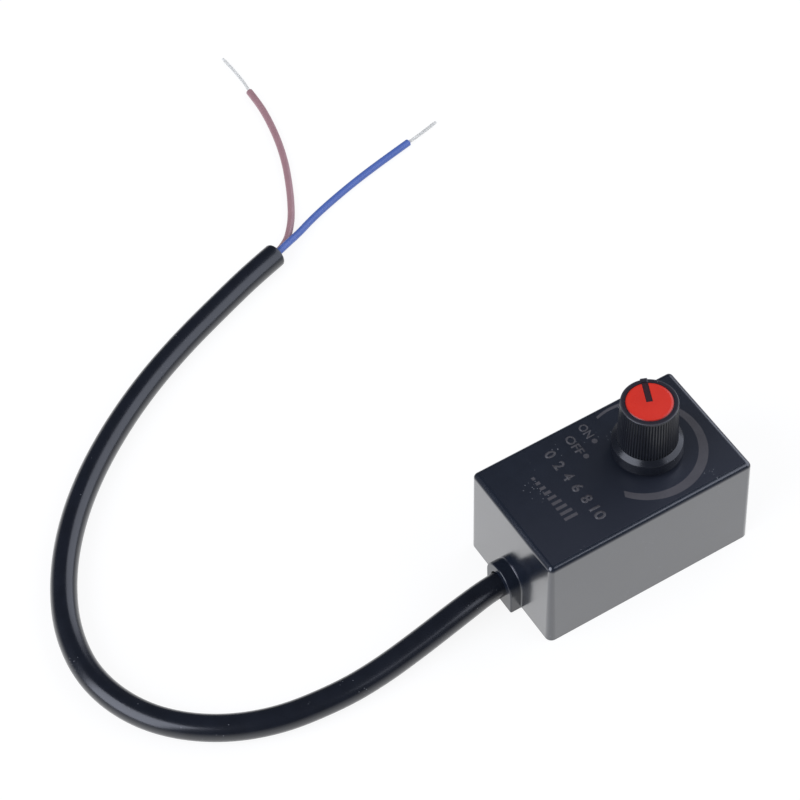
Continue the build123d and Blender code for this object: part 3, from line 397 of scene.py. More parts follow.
@dataclass(frozen=True)
class CaseFinish(Finish):
    """The case's plastic: polished walls and edges, and a finely matted top with more dust by the knob and
    painted light towards the right.
    """

    top_from: float = 24.68 * MM
    top_rough: float = 0.32
    # painted light: the pale colour laid on the top, growing towards +X
    painted_light_colour: Colour = (0.0215, 0.0255, 0.038)
    painted_light_from: float = -6.0 * MM
    painted_light_to: float = 14.0 * MM
    painted_light_scale: float = 90.0
    painted_light_waver: float = 8.0 * MM
    dusty_place: Point = (-7.6 * MM, 5.0 * MM, CASE_TOP)
    dusty_reach: float = 4.5 * MM
    dusty_cover: float = 0.3
    boss_from: float = -25.2 * MM

    def colours(self, wiring: Wiring, place: Socket) -> Socket:
        """Lays a pale painted light over the top's plastic, stronger towards the right.

        Args:
            wiring: the material's wiring.
            place: where on the object each point is.

        Returns:
            A colour socket.
        """
        waver = wiring.math("MULTIPLY", wiring.noise(place, self.painted_light_scale, detail=3.0), self.painted_light_waver)
        across = wiring.math("ADD", wiring.axis(place, 0), waver)
        # painted light on the top, stronger towards +X
        painted_light = wiring.span(across, self.painted_light_from, self.painted_light_to, 0.0, wiring.above(place, self.top_from))
        return wiring.mix(painted_light, super().colours(wiring, place), self.painted_light_colour)

    def cover(self, wiring: Wiring, place: Socket) -> Any:
        """Lets more specks lie round one place beside the knob."""
        away = wiring.distance(place, self.dusty_place)
        return wiring.span(away, 0.0, self.dusty_reach, self.dusty_cover, self.dust_cover)

    def gloss(self, wiring: Wiring, place: Socket, groups: SharedGroups) -> Any:
        """Makes the top rougher than the rest."""
        plain = super().gloss(wiring, place, groups)
        return wiring.blend(wiring.above(place, self.top_from), plain, self.top_rough)

    def sheen(self, wiring: Wiring, place: Socket) -> Any:
        """Leaves the clear gloss off the top and off the cord's boss.

        Args:
            wiring: the material's wiring.
            place: where on the object each point is.

        Returns:
            The gloss's weight.
        """
        boss = wiring.math("LESS_THAN", wiring.axis(place, 1), self.boss_from)
        plain = wiring.math("MAXIMUM", wiring.above(place, self.top_from), boss)
        return wiring.blend(plain, self.coat, 0.0)


@dataclass(frozen=True)
class CapFinish(Finish):
    """The cap's plastic, whose top rolls over softly, with painted shade darkening it towards its edge."""

    roll_from: float = 4.25 * MM
    roll_to: float = 4.72 * MM
    roll_drop: float = 0.14 * MM
    shade_from: float = 4.66 * MM
    shade_to: float = 4.88 * MM
    # painted shade: the dark red that the cap's edge fades into, in the shaded gap round it
    gap_shade_colour: Colour = (0.1, 0.012, 0.014)

    def colours(self, wiring: Wiring, place: Socket) -> Socket:
        """Paints shade into the colour towards the gap round the cap."""
        # painted shade towards the cap's edge
        edge = wiring.span(wiring.from_knob_axis(place), self.shade_from, self.shade_to, 0.0, 1.0)
        return wiring.mix(edge, super().colours(wiring, place), self.gap_shade_colour)

    def relief(self, wiring: Wiring, place: Socket, groups: SharedGroups) -> Any:
        """Takes the rolled edge off the grain's height.

        Args:
            wiring: the material's wiring.
            place: where on the object each point is.
            groups: the shared node groups.

        Returns:
            The height's socket.
        """
        share = wiring.span(wiring.from_knob_axis(place), self.roll_from, self.roll_to, 0.0, 1.0)
        drop = wiring.math("MULTIPLY", wiring.math("POWER", share, 2.0), self.roll_drop / self.grain_depth)
        return wiring.math("SUBTRACT", super().relief(wiring, place, groups), drop)


@dataclass(frozen=True)
class KnobFinish(Finish):
    """The knob's plastic: glossy on its skirt, duller on the ribbed grip, with a painted highlight at the
    rim's edge and a painted red reflection on the pointer bar.
    """

    grip_low: float = 29.35 * MM
    grip_rough: float = 0.34
    rim_from: float = 40.4 * MM
    rim_inner: float = 5.2 * MM
    rim_outer: float = 6.0 * MM
    highlight_power: float = 3.0
    bar_reach: float = 4.9 * MM
    rim_colour: Colour = (0.022, 0.019, 0.028)
    # painted highlight on the rim's outer edge
    edge_highlight_colour: Colour = (0.13, 0.13, 0.14)
    # painted reflection of the red cap on the pointer bar
    bar_reflection_colour: Colour = (0.042, 0.016, 0.022)

    def colours(self, wiring: Wiring, place: Socket) -> Socket:
        """Paints a highlight on the rim's outer edge, and a reflection of the red cap on the pointer bar in
        the cap's slot.

        Args:
            wiring: the material's wiring.
            place: where on the object each point is.

        Returns:
            A colour socket.
        """
        away = wiring.from_knob_axis(place)
        # painted highlight, rising towards the rim's outer edge
        edge = wiring.span(away, self.rim_inner, self.rim_outer, 0.0, 1.0)
        edge = wiring.math("POWER", edge, self.highlight_power)
        high = wiring.mix(edge, self.rim_colour, self.edge_highlight_colour)
        # painted reflection of the cap, reddening the pointer bar
        high = wiring.mix(wiring.math("LESS_THAN", away, self.bar_reach), high, self.bar_reflection_colour)
        rim = wiring.above(place, self.rim_from)
        return wiring.mix(rim, super().colours(wiring, place), high)

    def gloss(self, wiring: Wiring, place: Socket, groups: SharedGroups) -> Any:
        """Makes the grip rougher than the skirt."""
        grip = wiring.above(place, self.grip_low)
        return wiring.blend(grip, super().gloss(wiring, place, groups), self.grip_rough)


@dataclass(frozen=True)
class BandedFinish(Finish):
    """A small part with painted rings across its length, along X."""

    bands: tuple[tuple[float, Colour], ...] = ()
    band_half: float = 0.3 * MM
    body_half: float = 3.2 * MM
    lead_colour: Colour = (0.7, 0.7, 0.7)

    def colours(self, wiring: Wiring, place: Socket) -> Socket:
        """Lays the rings over the body's colour, and bare wire past the body's ends.

        Args:
            wiring: the material's wiring.
            place: where on the object each point is.

        Returns:
            A colour socket.
        """
        x = wiring.axis(place, 0)
        colour = super().colours(wiring, place)
        for middle, band in self.bands:
            away = wiring.math("ABSOLUTE", wiring.math("SUBTRACT", x, middle))
            colour = wiring.mix(wiring.math("LESS_THAN", away, self.band_half), colour, band)
        past = wiring.math("GREATER_THAN", wiring.math("ABSOLUTE", x), self.body_half)
        return wiring.mix(past, colour, self.lead_colour)


@dataclass(frozen=True)
class GlassFinish(BandedFinish):
    """A diode's glass body with its painted ring."""

    transmission: float = 0.85

    def special(self, shader: bpy.types.Node) -> None:
        """Lets light through the body."""
        shader.inputs["Transmission Weight"].default_value = self.transmission


@dataclass(frozen=True)
class InkFinish(Finish):
    """Printing ink with pinholes where the surface under it shows."""

    under: Colour = (0.012, 0.016, 0.026)
    hole_scale: float = 5200.0
    hole_from: float = 0.7

    def colours(self, wiring: Wiring, place: Socket) -> Socket:
        """The ink's colour, broken by fine pinholes."""
        holes = wiring.math("GREATER_THAN", wiring.noise(place, self.hole_scale, detail=3.0), self.hole_from)
        return wiring.mix(holes, super().colours(wiring, place), self.under)


def shaded(colour: Colour, share: float) -> Colour:
    """A colour made lighter or darker by one share."""
    red, green, blue = colour
    return red * share, green * share, blue * share


def black_plastic(name: str, colour: Colour, **values: Any) -> Finish:
    """A dark moulded plastic, slightly clouded."""
    return Finish(name, colour, shaded(colour, LIGHTER), **values)


def bright_metal(name: str, colour: Colour, **values: Any) -> Finish:
    """A bare or plated metal, slightly clouded."""
    return Finish(name, colour, shaded(colour, DARKER), metallic=1.0, **values)


CASE_FINISH = CaseFinish(
    "case_plastic", (0.0105, 0.0145, 0.0245), (0.013, 0.018, 0.03), low_rough=0.18, high_rough=0.24, ior=1.7,
    coat=1.0, coat_rough=0.18, grain_depth=0.0000012, dust_cover=0.615, dust_size=0.225,
)
KNOB_FINISH = KnobFinish(
    "knob_plastic", (0.0095, 0.011, 0.016), (0.012, 0.014, 0.02), low_rough=0.2, high_rough=0.26, ior=1.5,
    coat=0.35, coat_rough=0.2, dust_cover=0.6,
)
CAP_FINISH = CapFinish(
    "cap_plastic", (0.78, 0.036, 0.02), (0.73, 0.032, 0.018), low_rough=0.26, high_rough=0.32,
    grain_depth=0.000002,
)
INK_FINISH = InkFinish(
    "print_ink", (0.078, 0.075, 0.084), (0.09, 0.087, 0.097), low_rough=0.45, high_rough=0.55,
)
JACKET_FINISH = black_plastic(
    "cord_jacket", (0.0078, 0.0098, 0.0155), low_rough=0.22, high_rough=0.27, ior=1.58, coat=0.4,
    coat_rough=0.22, grain_scale=5000.0, dust_cover=0.6,
)
BROWN_FINISH = Finish(
    "brown_insulation", (0.4, 0.225, 0.245), (0.44, 0.25, 0.27), low_rough=0.3, high_rough=0.36,
    grain_scale=4000.0,
)
BLUE_FINISH = Finish(
    "blue_insulation", (0.085, 0.155, 0.48), (0.1, 0.175, 0.52), low_rough=0.3, high_rough=0.36,
    grain_scale=4000.0,
)
TIP_FINISH = Finish(
    "tinned_strands", (0.93, 0.92, 0.87), (0.8, 0.8, 0.76), colour_scale=1500.0, metallic=0.1, low_rough=0.45,
    high_rough=0.6,
)
TINNED_FINISH = bright_metal("tinned_copper", (0.66, 0.66, 0.65), low_rough=0.3, high_rough=0.42)
SHAFT_FINISH = bright_metal("shaft_aluminium", (0.75, 0.75, 0.77), low_rough=0.25, high_rough=0.38)
PLATED_FINISH = bright_metal("plated_steel", (0.68, 0.67, 0.63), low_rough=0.22, high_rough=0.35)
BUSH_FINISH = ThreadedFinish(
    "zinc_bush", (0.58, 0.58, 0.6), (0.5, 0.5, 0.53), metallic=1.0, low_rough=0.35, high_rough=0.5,
)
ZINC_FINISH = bright_metal("zinc_casting", (0.55, 0.55, 0.58), low_rough=0.4, high_rough=0.55)
BRONZE_FINISH = bright_metal("spring_bronze", (0.78, 0.52, 0.27), low_rough=0.25, high_rough=0.4)
NYLON_FINISH = Finish("nylon", (0.72, 0.7, 0.62), (0.66, 0.64, 0.56), low_rough=0.4, high_rough=0.5)
SWITCH_FINISH = black_plastic("switch_plastic", (0.03, 0.028, 0.026), low_rough=0.4, high_rough=0.5)
WAFER_FINISH = Finish(
    "phenolic", (0.24, 0.1, 0.035), (0.3, 0.14, 0.05), colour_scale=900.0, low_rough=0.35, high_rough=0.5,
)
BOARD_FINISH = Finish(
    "circuit_board", (0.38, 0.26, 0.1), (0.45, 0.31, 0.13), colour_scale=700.0, low_rough=0.4,
    high_rough=0.55,
)
RESISTOR_FINISH = BandedFinish(
    "resistor_body", (0.55, 0.42, 0.24), (0.6, 0.47, 0.28), low_rough=0.3, high_rough=0.4,
    bands=(
        (-2.4 * MM, (0.16, 0.05, 0.02)),
        (-1.2 * MM, (0.02, 0.02, 0.02)),
        (0.0, (0.75, 0.25, 0.02)),
        (2.4 * MM, (0.6, 0.42, 0.1)),
    ),
)
ZENER_FINISH = GlassFinish(
    "diode_glass", (0.8, 0.42, 0.18), (0.75, 0.36, 0.14), low_rough=0.05, high_rough=0.1,
    bands=((1.4 * MM, (0.02, 0.02, 0.02)),), body_half=2.0 * MM,
)
EPOXY_FINISH = black_plastic("moulded_epoxy", (0.02, 0.02, 0.02), low_rough=0.45, high_rough=0.6)
SOLDER_FINISH = bright_metal("solder", (0.76, 0.76, 0.76), low_rough=0.15, high_rough=0.35)


@dataclass
class Workshop:
    """Makes materials once, and gives each new piece its finish and body."""

    groups: SharedGroups = field(default_factory=SharedGroups)
    made: dict[str, bpy.types.Material] = field(default_factory=dict)
    tube_sides: int = 7
    tube_steps: int = 10

    def material(self, finish: Finish) -> bpy.types.Material:
        """The finish's material, built on its first use.

        Args:
            finish: what the surface is.

        Returns:
            The material.
        """
        if finish.name not in self.made:
            self.made[finish.name] = finish.material(self.groups)
        return self.made[finish.name]

    def dress_node(self, node: str, finish: Finish) -> None:
        """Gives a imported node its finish.

        Args:
            node: the node's name.
            finish: what its surface is.
        """
        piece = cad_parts[node]
        piece.data.materials.clear()
        piece.data.materials.append(self.material(finish))
        log.info("dressed %s in %s", node, finish.name)

    def settle(self, piece: bpy.types.Object, finish: Finish, body: Body) -> bpy.types.Object:
        """Finishes a new piece and lets it ride.

        Args:
            piece: the piece, already in place.
            finish: what its surface is.
            body: the body that it rides on.

        Returns:
            The same piece.
        """
        piece.data.materials.clear()
        piece.data.materials.append(self.material(finish))
        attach(piece, body.value)
        log.info("made %s, which rides on %s", piece.name, body.value)
        return piece

    @staticmethod
    def piece(name: str, form: Form) -> bpy.types.Object:
        """Turns a bmesh into a piece in the scene and frees it.

        Args:
            name: the piece's name.
            form: its shape.

        Returns:
            The piece.
        """
        mesh = bpy.data.meshes.new(name)
        form.to_mesh(mesh)
        form.free()
        return linked(name, mesh)

    @staticmethod
    def form_of(holder: bpy.types.Object) -> Form:
        """Turns a curve or a text into a bmesh and removes it.

        Args:
            holder: the object with the curve or the text.

        Returns:
            Its shape.
        """
        mesh = bpy.data.meshes.new_from_object(holder)
        form = bmesh.new()
        form.from_mesh(mesh)
        bpy.data.meshes.remove(mesh)
        bpy.data.curves.remove(holder.data)
        return form

    @staticmethod
    def wire_data(name: str, radius: float, sides: int) -> bpy.types.Curve:
        """Makes the data of a round wire, still without splines.

        Args:
            name: the data's name.
            radius: how thick it is round its line; 0 leaves a bare line.
            sides: Blender's resolution for the round form.

        Returns:
            The curve's data.
        """
        data = bpy.data.curves.new(name, "CURVE")
        data.dimensions = "3D"
        data.fill_mode = "FULL"
        data.bevel_depth = radius
        data.bevel_resolution = sides
        data.use_fill_caps = True
        return data

    @classmethod
    def curve(cls, name: str, route: list[Point], radius: float) -> bpy.types.Object:
        """Makes a curve of one open smooth spline along a route.

        Args:
            name: the curve's name.
            route: the spline's control points.
            radius: how thick it is round its line; 0 leaves a bare line.

        Returns:
            The curve, linked into the scene.
        """
        data = cls.wire_data(name, radius, cls.tube_sides)
        data.resolution_u = cls.tube_steps
        spline = data.splines.new("NURBS")
        spline.points.add(len(route) - 1)
        for point, place in zip(spline.points, route):
            point.co = (*place, 1.0)
        spline.order_u = 3
        spline.use_endpoint_u = True
        return linked(name, data)

    @classmethod
    def centreline(cls, route: list[Point]) -> list[Vector]:
        """Follows the smooth line that a route's spline makes.

        Args:
            route: the spline's control points.

        Returns:
            The points along the line.
        """
        form = cls.form_of(cls.curve("centreline", route, 0.0))
        points = [vertex.co.copy() for vertex in form.verts]
        form.free()
        return points


@dataclass
class Case:
    """The moulded case: its shell, its cover and the print on its top."""

    ink_height: float = 0.015 * MM
    ink_sink: float = 0.005 * MM
    outline_gap: float = 0.000002
    letter_steps: int = 6
    dot_steps: int = 32
    sweep_steps: int = 96
    dot_radius: float = 0.62 * MM
    dots: tuple[tuple[float, float], ...] = ((-7.66 * MM, 0.86 * MM), (-5.37 * MM, -2.74 * MM))
    on_box: Box = (-12.6 * MM, -8.9 * MM, -0.2 * MM, 1.8 * MM)
    off_box: Box = (-11.6 * MM, -6.45 * MM, -4.15 * MM, -2.15 * MM)
    word_weight: float = 0.022
    numbers: tuple[str, ...] = ("0", "2", "4", "6", "8", "10")
    numbers_left: float = -10.5 * MM
    numbers_right: float = 9.4 * MM
    numbers_low: float = -9.9 * MM
    numbers_high: float = -7.4 * MM
    digit_width: float = 1.65 * MM
    number_weight: float = 0.028
    bar_count: int = 9
    bar_width: float = 0.75 * MM
    bars_left: float = -6.8 * MM
    bars_right: float = 5.9 * MM
    bars_low: float = -15.3 * MM
    shortest_bar: float = 0.7 * MM
    tallest_bar: float = 3.1 * MM
    sweep_outer: float = 12.85 * MM
    sweep_inner: float = 11.55 * MM
    sweep_outer_offset: float = 0.35 * MM
    sweep_inner_offset: float = 1.1 * MM
    sweep_offset_angle: float = 210.0
    sweep_start: float = 197.0
    sweep_end: float = -53.0

    def build(self, workshop: Workshop) -> None:
        """Dresses the shell and the cover, and prints the top.

        Args:
            workshop: what makes the materials and the pieces.
        """
        workshop.dress_node("case_shell", CASE_FINISH)
        workshop.dress_node("bottom_cover", CASE_FINISH)
        prints = {
            "print_on": self.words("ON", self.on_box, self.word_weight),
            "print_off": self.words("OFF", self.off_box, self.word_weight),
            "print_dots": self.round_dots(),
            "print_numbers": self.number_row(),
            "print_bars": self.rising_bars(),
            "print_sweep": self.sweep(),
        }
        for name, form in prints.items():
            self.thicken(form)
            workshop.settle(workshop.piece(name, form), INK_FINISH, Body.CASE)

    def thicken(self, form: Form) -> None:
        """Lifts a flat print to the case's top and gives the ink its thickness.

        Args:
            form: the flat print, which is changed.
        """
        bmesh.ops.remove_doubles(form, verts=form.verts, dist=self.outline_gap)
        bmesh.ops.translate(form, verts=form.verts, vec=(0, 0, CASE_TOP - self.ink_sink))
        raised = bmesh.ops.extrude_face_region(form, geom=list(form.faces))
        corners = [part for part in raised["geom"] if isinstance(part, bmesh.types.BMVert)]
        bmesh.ops.translate(form, verts=corners, vec=(0, 0, self.ink_height + self.ink_sink))
        bmesh.ops.recalc_face_normals(form, faces=form.faces)

    def words(self, text: str, box: Box, weight: float) -> Form:
        """Sets a word flat in a box.

        Args:
            text: what it reads.
            box: its left, right, lowest and highest edges.
            weight: how much bolder than the plain letters, as a share of their size.

        Returns:
            The flat letters.
        """
        data = bpy.data.curves.new("lettering", "FONT")
        data.body = text
        data.offset = weight
        data.resolution_u = self.letter_steps
        form = Workshop.form_of(linked("lettering", data))
        left, right, low, high = box
        corners = [vertex.co for vertex in form.verts]
        old_left = min(corner.x for corner in corners)
        old_low = min(corner.y for corner in corners)
        width = max(corner.x for corner in corners) - old_left
        height = max(corner.y for corner in corners) - old_low
        bmesh.ops.translate(form, verts=form.verts, vec=(-old_left, -old_low, 0))
        bmesh.ops.scale(form, verts=form.verts, vec=((right - left) / width, (high - low) / height, 1))
        bmesh.ops.translate(form, verts=form.verts, vec=(left, low, 0))
        return form

    def number_row(self) -> Form:
        """Sets the bold row of numbers, evenly spread between its two ends.

        Returns:
            The flat numbers.
        """
        row = bmesh.new()
        last_left = self.numbers_right - self.digit_width * len(self.numbers[-1])
        step = (last_left - self.numbers_left) / (len(self.numbers) - 1)
        for place, number in enumerate(self.numbers):
            left = self.numbers_left + place * step
            width = self.digit_width * len(number)
            box = (left, left + width, self.numbers_low, self.numbers_high)
            self.add_to(row, self.words(number, box, self.number_weight))
        return row

    @staticmethod
    def add_to(whole: Form, part: Form) -> None:
        """Copies one form into another and frees it.

        Args:
            whole: the form that grows.
            part: the form that goes into it.
        """
        mesh = bpy.data.meshes.new("part")
        part.to_mesh(mesh)
        part.free()
        whole.from_mesh(mesh)
        bpy.data.meshes.remove(mesh)

    def round_dots(self) -> Form:
        """Sets the dot beside each of the two words.

        Returns:
            The flat dots.
        """
        form = bmesh.new()
        for x, y in self.dots:
            place = Matrix.Translation((x, y, 0))
            bmesh.ops.create_circle(
                form, cap_ends=True, segments=self.dot_steps, radius=self.dot_radius, matrix=place,
            )
        return form

    def rising_bars(self) -> Form:
        """Sets the row of bars that grow from left to right.

        Returns:
            The flat bars.
        """
        form = bmesh.new()
        step = (self.bars_right - self.bars_left - self.bar_width) / (self.bar_count - 1)
        for place in range(self.bar_count):
            share = place / (self.bar_count - 1)
            height = self.shortest_bar + share * (self.tallest_bar - self.shortest_bar)
            middle = (self.bars_left + self.bar_width / 2 + place * step, self.bars_low + height / 2, 0)
            spot = Matrix.Translation(middle) @ Matrix.Diagonal((self.bar_width, height, 1, 1))
            bmesh.ops.create_grid(form, x_segments=1, y_segments=1, size=0.5, matrix=spot)
        return form

    def sweep(self) -> Form:
        """Sets the band round the knob, between two arcs with different centres.

        Returns:
            The flat band.
        """
        form = bmesh.new()
        turn = radians(self.sweep_end - self.sweep_start)
        start = radians(self.sweep_start)
        away = radians(self.sweep_offset_angle)
        for radius, offset in (
            (self.sweep_outer, self.sweep_outer_offset),
            (self.sweep_inner, self.sweep_inner_offset),
        ):
            centre = Vector((offset * cos(away), KNOB_Y + offset * sin(away), 0))
            first = form.verts.new(centre + Vector((radius * cos(start), radius * sin(start), 0)))
            bmesh.ops.spin(
                form, geom=[first], cent=centre, axis=(0, 0, 1), angle=turn, steps=self.sweep_steps,
            )
        bmesh.ops.bridge_loops(form, edges=list(form.edges))
        return form


@dataclass
class Knob:
    """The push-on knob and its inset cap."""

    def build(self, workshop: Workshop) -> None:
        """Dresses the knob's two pieces.

        Args:
            workshop: what makes the materials and the pieces.
        """
        workshop.dress_node("knob_body", KNOB_FINISH)
        workshop.dress_node("knob_cap", CAP_FINISH)


@dataclass
class Inside:
    """What the case hides: the potentiometer, its switch, the board and the cord's tie."""

    finishes: dict[str, Finish] = field(
        default_factory=lambda: {
            "pot_shaft": SHAFT_FINISH,
            "pot_rotor": NYLON_FINISH,
            "pot_wiper": BRONZE_FINISH,
            "pot_bushing": BUSH_FINISH,
            "pot_washer": PLATED_FINISH,
            "pot_nut": PLATED_FINISH,
            "pot_wafer": WAFER_FINISH,
            "pot_terminals": TINNED_FINISH,
            "pot_housing": ZINC_FINISH,
            "switch_housing": SWITCH_FINISH,
            "switch_blade": BRONZE_FINISH,
            "switch_contacts": TINNED_FINISH,
            "circuit_board": BOARD_FINISH,
            "resistor": RESISTOR_FINISH,
            "zener_diode": ZENER_FINISH,
            "transistor": EPOXY_FINISH,
            "solder_joints": SOLDER_FINISH,
            "cable_tie": NYLON_FINISH,
            "brown_lead": BROWN_FINISH,
            "blue_lead": BLUE_FINISH,
        }
    )

    def build(self, workshop: Workshop) -> None:
        """Dresses every inner piece.

        Args:
            workshop: what makes the materials and the pieces.
        """
        for node, finish in self.finishes.items():
            workshop.dress_node(node, finish)


@dataclass
class Cord:
    """The two-core cord: its jacket, the free wires and their bare tips."""

    jacket_diameter: float = 5.7 * MM
    wire_diameter: float = 1.7 * MM
    tip_diameter: float = 0.82 * MM
    lying: float = 2.85 * MM
    wire_lying: float = 0.85 * MM
    jacket_length: float = 0.2305
    brown_length: float = 0.0595
    blue_length: float = 0.0503
    jacket_end_round: float = 0.7 * MM
    wire_end_round: float = 0.12 * MM
    end_steps: int = 5
    strands: int = 6
    strand_radius: float = 0.12 * MM
    strand_pitch: float = 4.5 * MM
    strand_sides: int = 2
    tight_spread: float = 0.85
    loosening: float = 0.25
    pinch: float = 0.35
    pinch_from: float = 0.92
    exit: Point = (0.0, -0.0276, 0.0052)
    held_points: int = 2
    squeeze: float = 0.94

    def jacket_route(self) -> list[Point]:
        """The jacket's route, from inside the case to its cut end.

        Returns:
            The control points of its line.
        """
        low = self.lying
        exit_z = self.exit[2]
        return [
            (0.0, -0.0198, exit_z),
            (0.0, -0.0285, exit_z),
            (0.0013, -0.0375, 0.0048),
            (0.0027, -0.048, 0.0037),
            (0.0039, -0.0585, 0.0029),
            (0.0043, -0.0685, low),
            (0.0026, -0.0825, low),
            (-0.0032, -0.0948, low),
            (-0.0129, -0.1043, low),
            (-0.0258, -0.109, low),
            (-0.0392, -0.1078, low),
            (-0.0517, -0.1025, low),
            (-0.063, -0.0946, low),
            (-0.0727, -0.085, low),
            (-0.081, -0.0742, low),
            (-0.0881, -0.0627, low),
            (-0.094, -0.0505, low),
            (-0.099, -0.038, low),
            (-0.103, -0.0275, low),
            (-0.1052, -0.0202, low),
        ]

    def brown_route(self) -> list[Point]:
        """The brown wire's route, from inside the jacket's end to where it is stripped.

        Returns:
            The control points of its line.
        """
        low = self.wire_lying
        return [
            (-0.1049, -0.0232, 0.0018),
            (-0.1058, -0.0204, 0.0018),
            (-0.1083, -0.0159, 0.0014),
            (-0.1116, -0.0131, 0.0011),
            (-0.1149, -0.0108, 0.0009),
            (-0.1197, -0.0082, low),
            (-0.1251, -0.0057, low),
            (-0.1307, -0.0034, low),
            (-0.1372, -0.0014, low),
            (-0.1437, 0.0, low),
            (-0.1502, 0.00095, low),
            (-0.1557, 0.001, low),
        ]

    def blue_route(self) -> list[Point]:
        """The blue wire's route, from inside the jacket's end to where it is stripped.

        Returns:
            The control points of its line.
        """
        low = self.wire_lying
        return [
            (-0.1041, -0.023, 0.0033),
            (-0.105, -0.02, 0.0033),
            (-0.1066, -0.0166, 0.0028),
            (-0.1087, -0.0122, 0.0019),
            (-0.1108, -0.0084, 0.0013),
            (-0.1129, -0.0035, 0.0009),
            (-0.115, 0.003, low),
            (-0.1168, 0.0095, low),
            (-0.1185, 0.0168, low),
            (-0.1201, 0.0243, low),
        ]

    def brown_tip_route(self) -> list[Point]:
        """The brown wire's bare tip."""
        return [(-0.1557, 0.001, self.wire_lying), (-0.1586, 0.0018, 0.0008), (-0.1694, 0.0013, 0.00045)]

    def blue_tip_route(self) -> list[Point]:
        """The blue wire's bare tip."""
        return [(-0.1201, 0.0243, self.wire_lying), (-0.1207, 0.0278, 0.0008), (-0.1225, 0.0334, 0.00045)]

    def rounded_tube(
        self, name: str, route: list[Point], radius: float, rounding: float, held: int = 0,
    ) -> bpy.types.Object:
        """A tube along a route whose far end has a rounded edge.

        Args:
            name: the piece's name.
            route: the control points of its line.
            radius: its radius.
            rounding: the radius of its far end's edge.
            held: how many of its first points the case's bore squeezes.

        Returns:
            The tube.
        """
        line = Workshop.curve("tube", route, radius)
        for place in range(held):
            line.data.splines[0].points[place].radius = self.squeeze
        form = Workshop.form_of(line)
        bmesh.ops.remove_doubles(form, verts=form.verts, dist=SAME_PLACE)
        end = Vector(route[-1])
        along = (end - Vector(route[-2])).normalized()
        away = {face: face.calc_center_median() - end for face in form.faces}
        flat = [face for face in form.faces if abs(away[face].dot(along)) < radius / 100]
        cap = [face for face in flat if away[face].length < radius]
        rim = list(bmesh.ops.dissolve_faces(form, faces=cap)["region"][0].edges)
        bmesh.ops.bevel(
            form, geom=rim, offset=rounding, offset_type="OFFSET", segments=self.end_steps, profile=0.5,
            affect="EDGES", material=-1, clamp_overlap=True,
        )
        bmesh.ops.recalc_face_normals(form, faces=form.faces)
        for face in form.faces:
            face.smooth = len(face.verts) <= 4
        return Workshop.piece(name, form)

    def stranded_tip(self, name: str, route: list[Point]) -> bpy.types.Object:
        """A tip of thin strands twisted round a straight one, looser on the way and pinched at the end.

        Args:
            name: the piece's name.
            route: the control points of the tip's line.

        Returns:
            A curve with one spline for each strand.
        """
        points = Workshop.centreline(route)
        data = Workshop.wire_data(name, self.strand_radius, self.strand_sides)
        ring = self.tip_diameter / 2 - self.strand_radius
        for strand in range(self.strands + 1):
            reach = 0.0 if strand == self.strands else ring
            spline = data.splines.new("POLY")
            spline.points.add(len(points) - 1)
            travelled = 0.0
            for place, point in enumerate(points):
                before = points[max(place - 1, 0)]
                after = points[min(place + 1, len(points) - 1)]
                travelled += (point - before).length
                along = (after - before).normalized()
                side = along.cross(Vector((0, 0, 1))).normalized()
                angle = tau * (strand / self.strands + travelled / self.strand_pitch)
                share = place / (len(points) - 1)
                pinched = max(0.0, share - self.pinch_from) / (1.0 - self.pinch_from)
                spread = self.tight_spread + self.loosening * share - self.pinch * pinched
                out = (side * cos(angle) + side.cross(along) * sin(angle)) * reach * spread
                spline.points[place].co = (*(point + out), 1.0)
        return linked(name, data)

    def build(self, workshop: Workshop) -> None:
        """Args:
            workshop: what makes the materials and the pieces.
        """
        for colour, route in (("brown", self.brown_tip_route()), ("blue", self.blue_tip_route())):
            tip = self.stranded_tip(f"{colour}_strands", route)
            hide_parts(f"{colour}_conductor")
            workshop.settle(tip, TIP_FINISH, Body.CASE)
        for colour, route, length, finish, slot in (
            ("brown", self.brown_route(), self.brown_length, BROWN_FINISH, Slot.BROWN),
            ("blue", self.blue_route(), self.blue_length, BLUE_FINISH, Slot.BLUE),
        ):
            radius = self.wire_diameter / 2
            wire = self.rounded_tube(f"{colour}_free_wire", route, radius, self.wire_end_round)
            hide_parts(f"{colour}_wire")
            workshop.settle(wire, finish, Body.CASE)
            Workshop.centreline(route)
        route = self.jacket_route()
        radius = self.jacket_diameter / 2
        jacket = self.rounded_tube("jacket", route, radius, self.jacket_end_round, self.held_points)
        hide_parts("cord_jacket")
        workshop.settle(jacket, JACKET_FINISH, Body.CASE)
        Workshop.centreline(route)


@dataclass(frozen=True)
class SoftBox:
    """A large soft lamp that faces the object; its angles are seen from the object."""

    name: str
    azimuth: float
    elevation: float
    width: float
    height: float
    radiance: float
    colour: Colour = (0.93, 0.98, 1.14)
    distance: float = 1.1

    def build(self) -> None:
        """Hangs the lamp."""
        turn, rise = radians(self.azimuth), radians(self.elevation)
        place = self.distance * Vector((cos(turn) * cos(rise), sin(turn) * cos(rise), sin(rise)))
        data = bpy.data.lights.new(self.name, "AREA")
        data.shape = "RECTANGLE"
        data.size = self.width
        data.size_y = self.height
        data.energy = self.radiance * pi * self.width * self.height
        data.color = self.colour
        lamp = linked(self.name, data)
        lamp.location = place
        lamp.rotation_mode = "QUATERNION"
        lamp.rotation_quaternion = (-place).to_track_quat("-Z", "Y")
        lamp.visible_camera = False
        log.info("made %s", self.name)


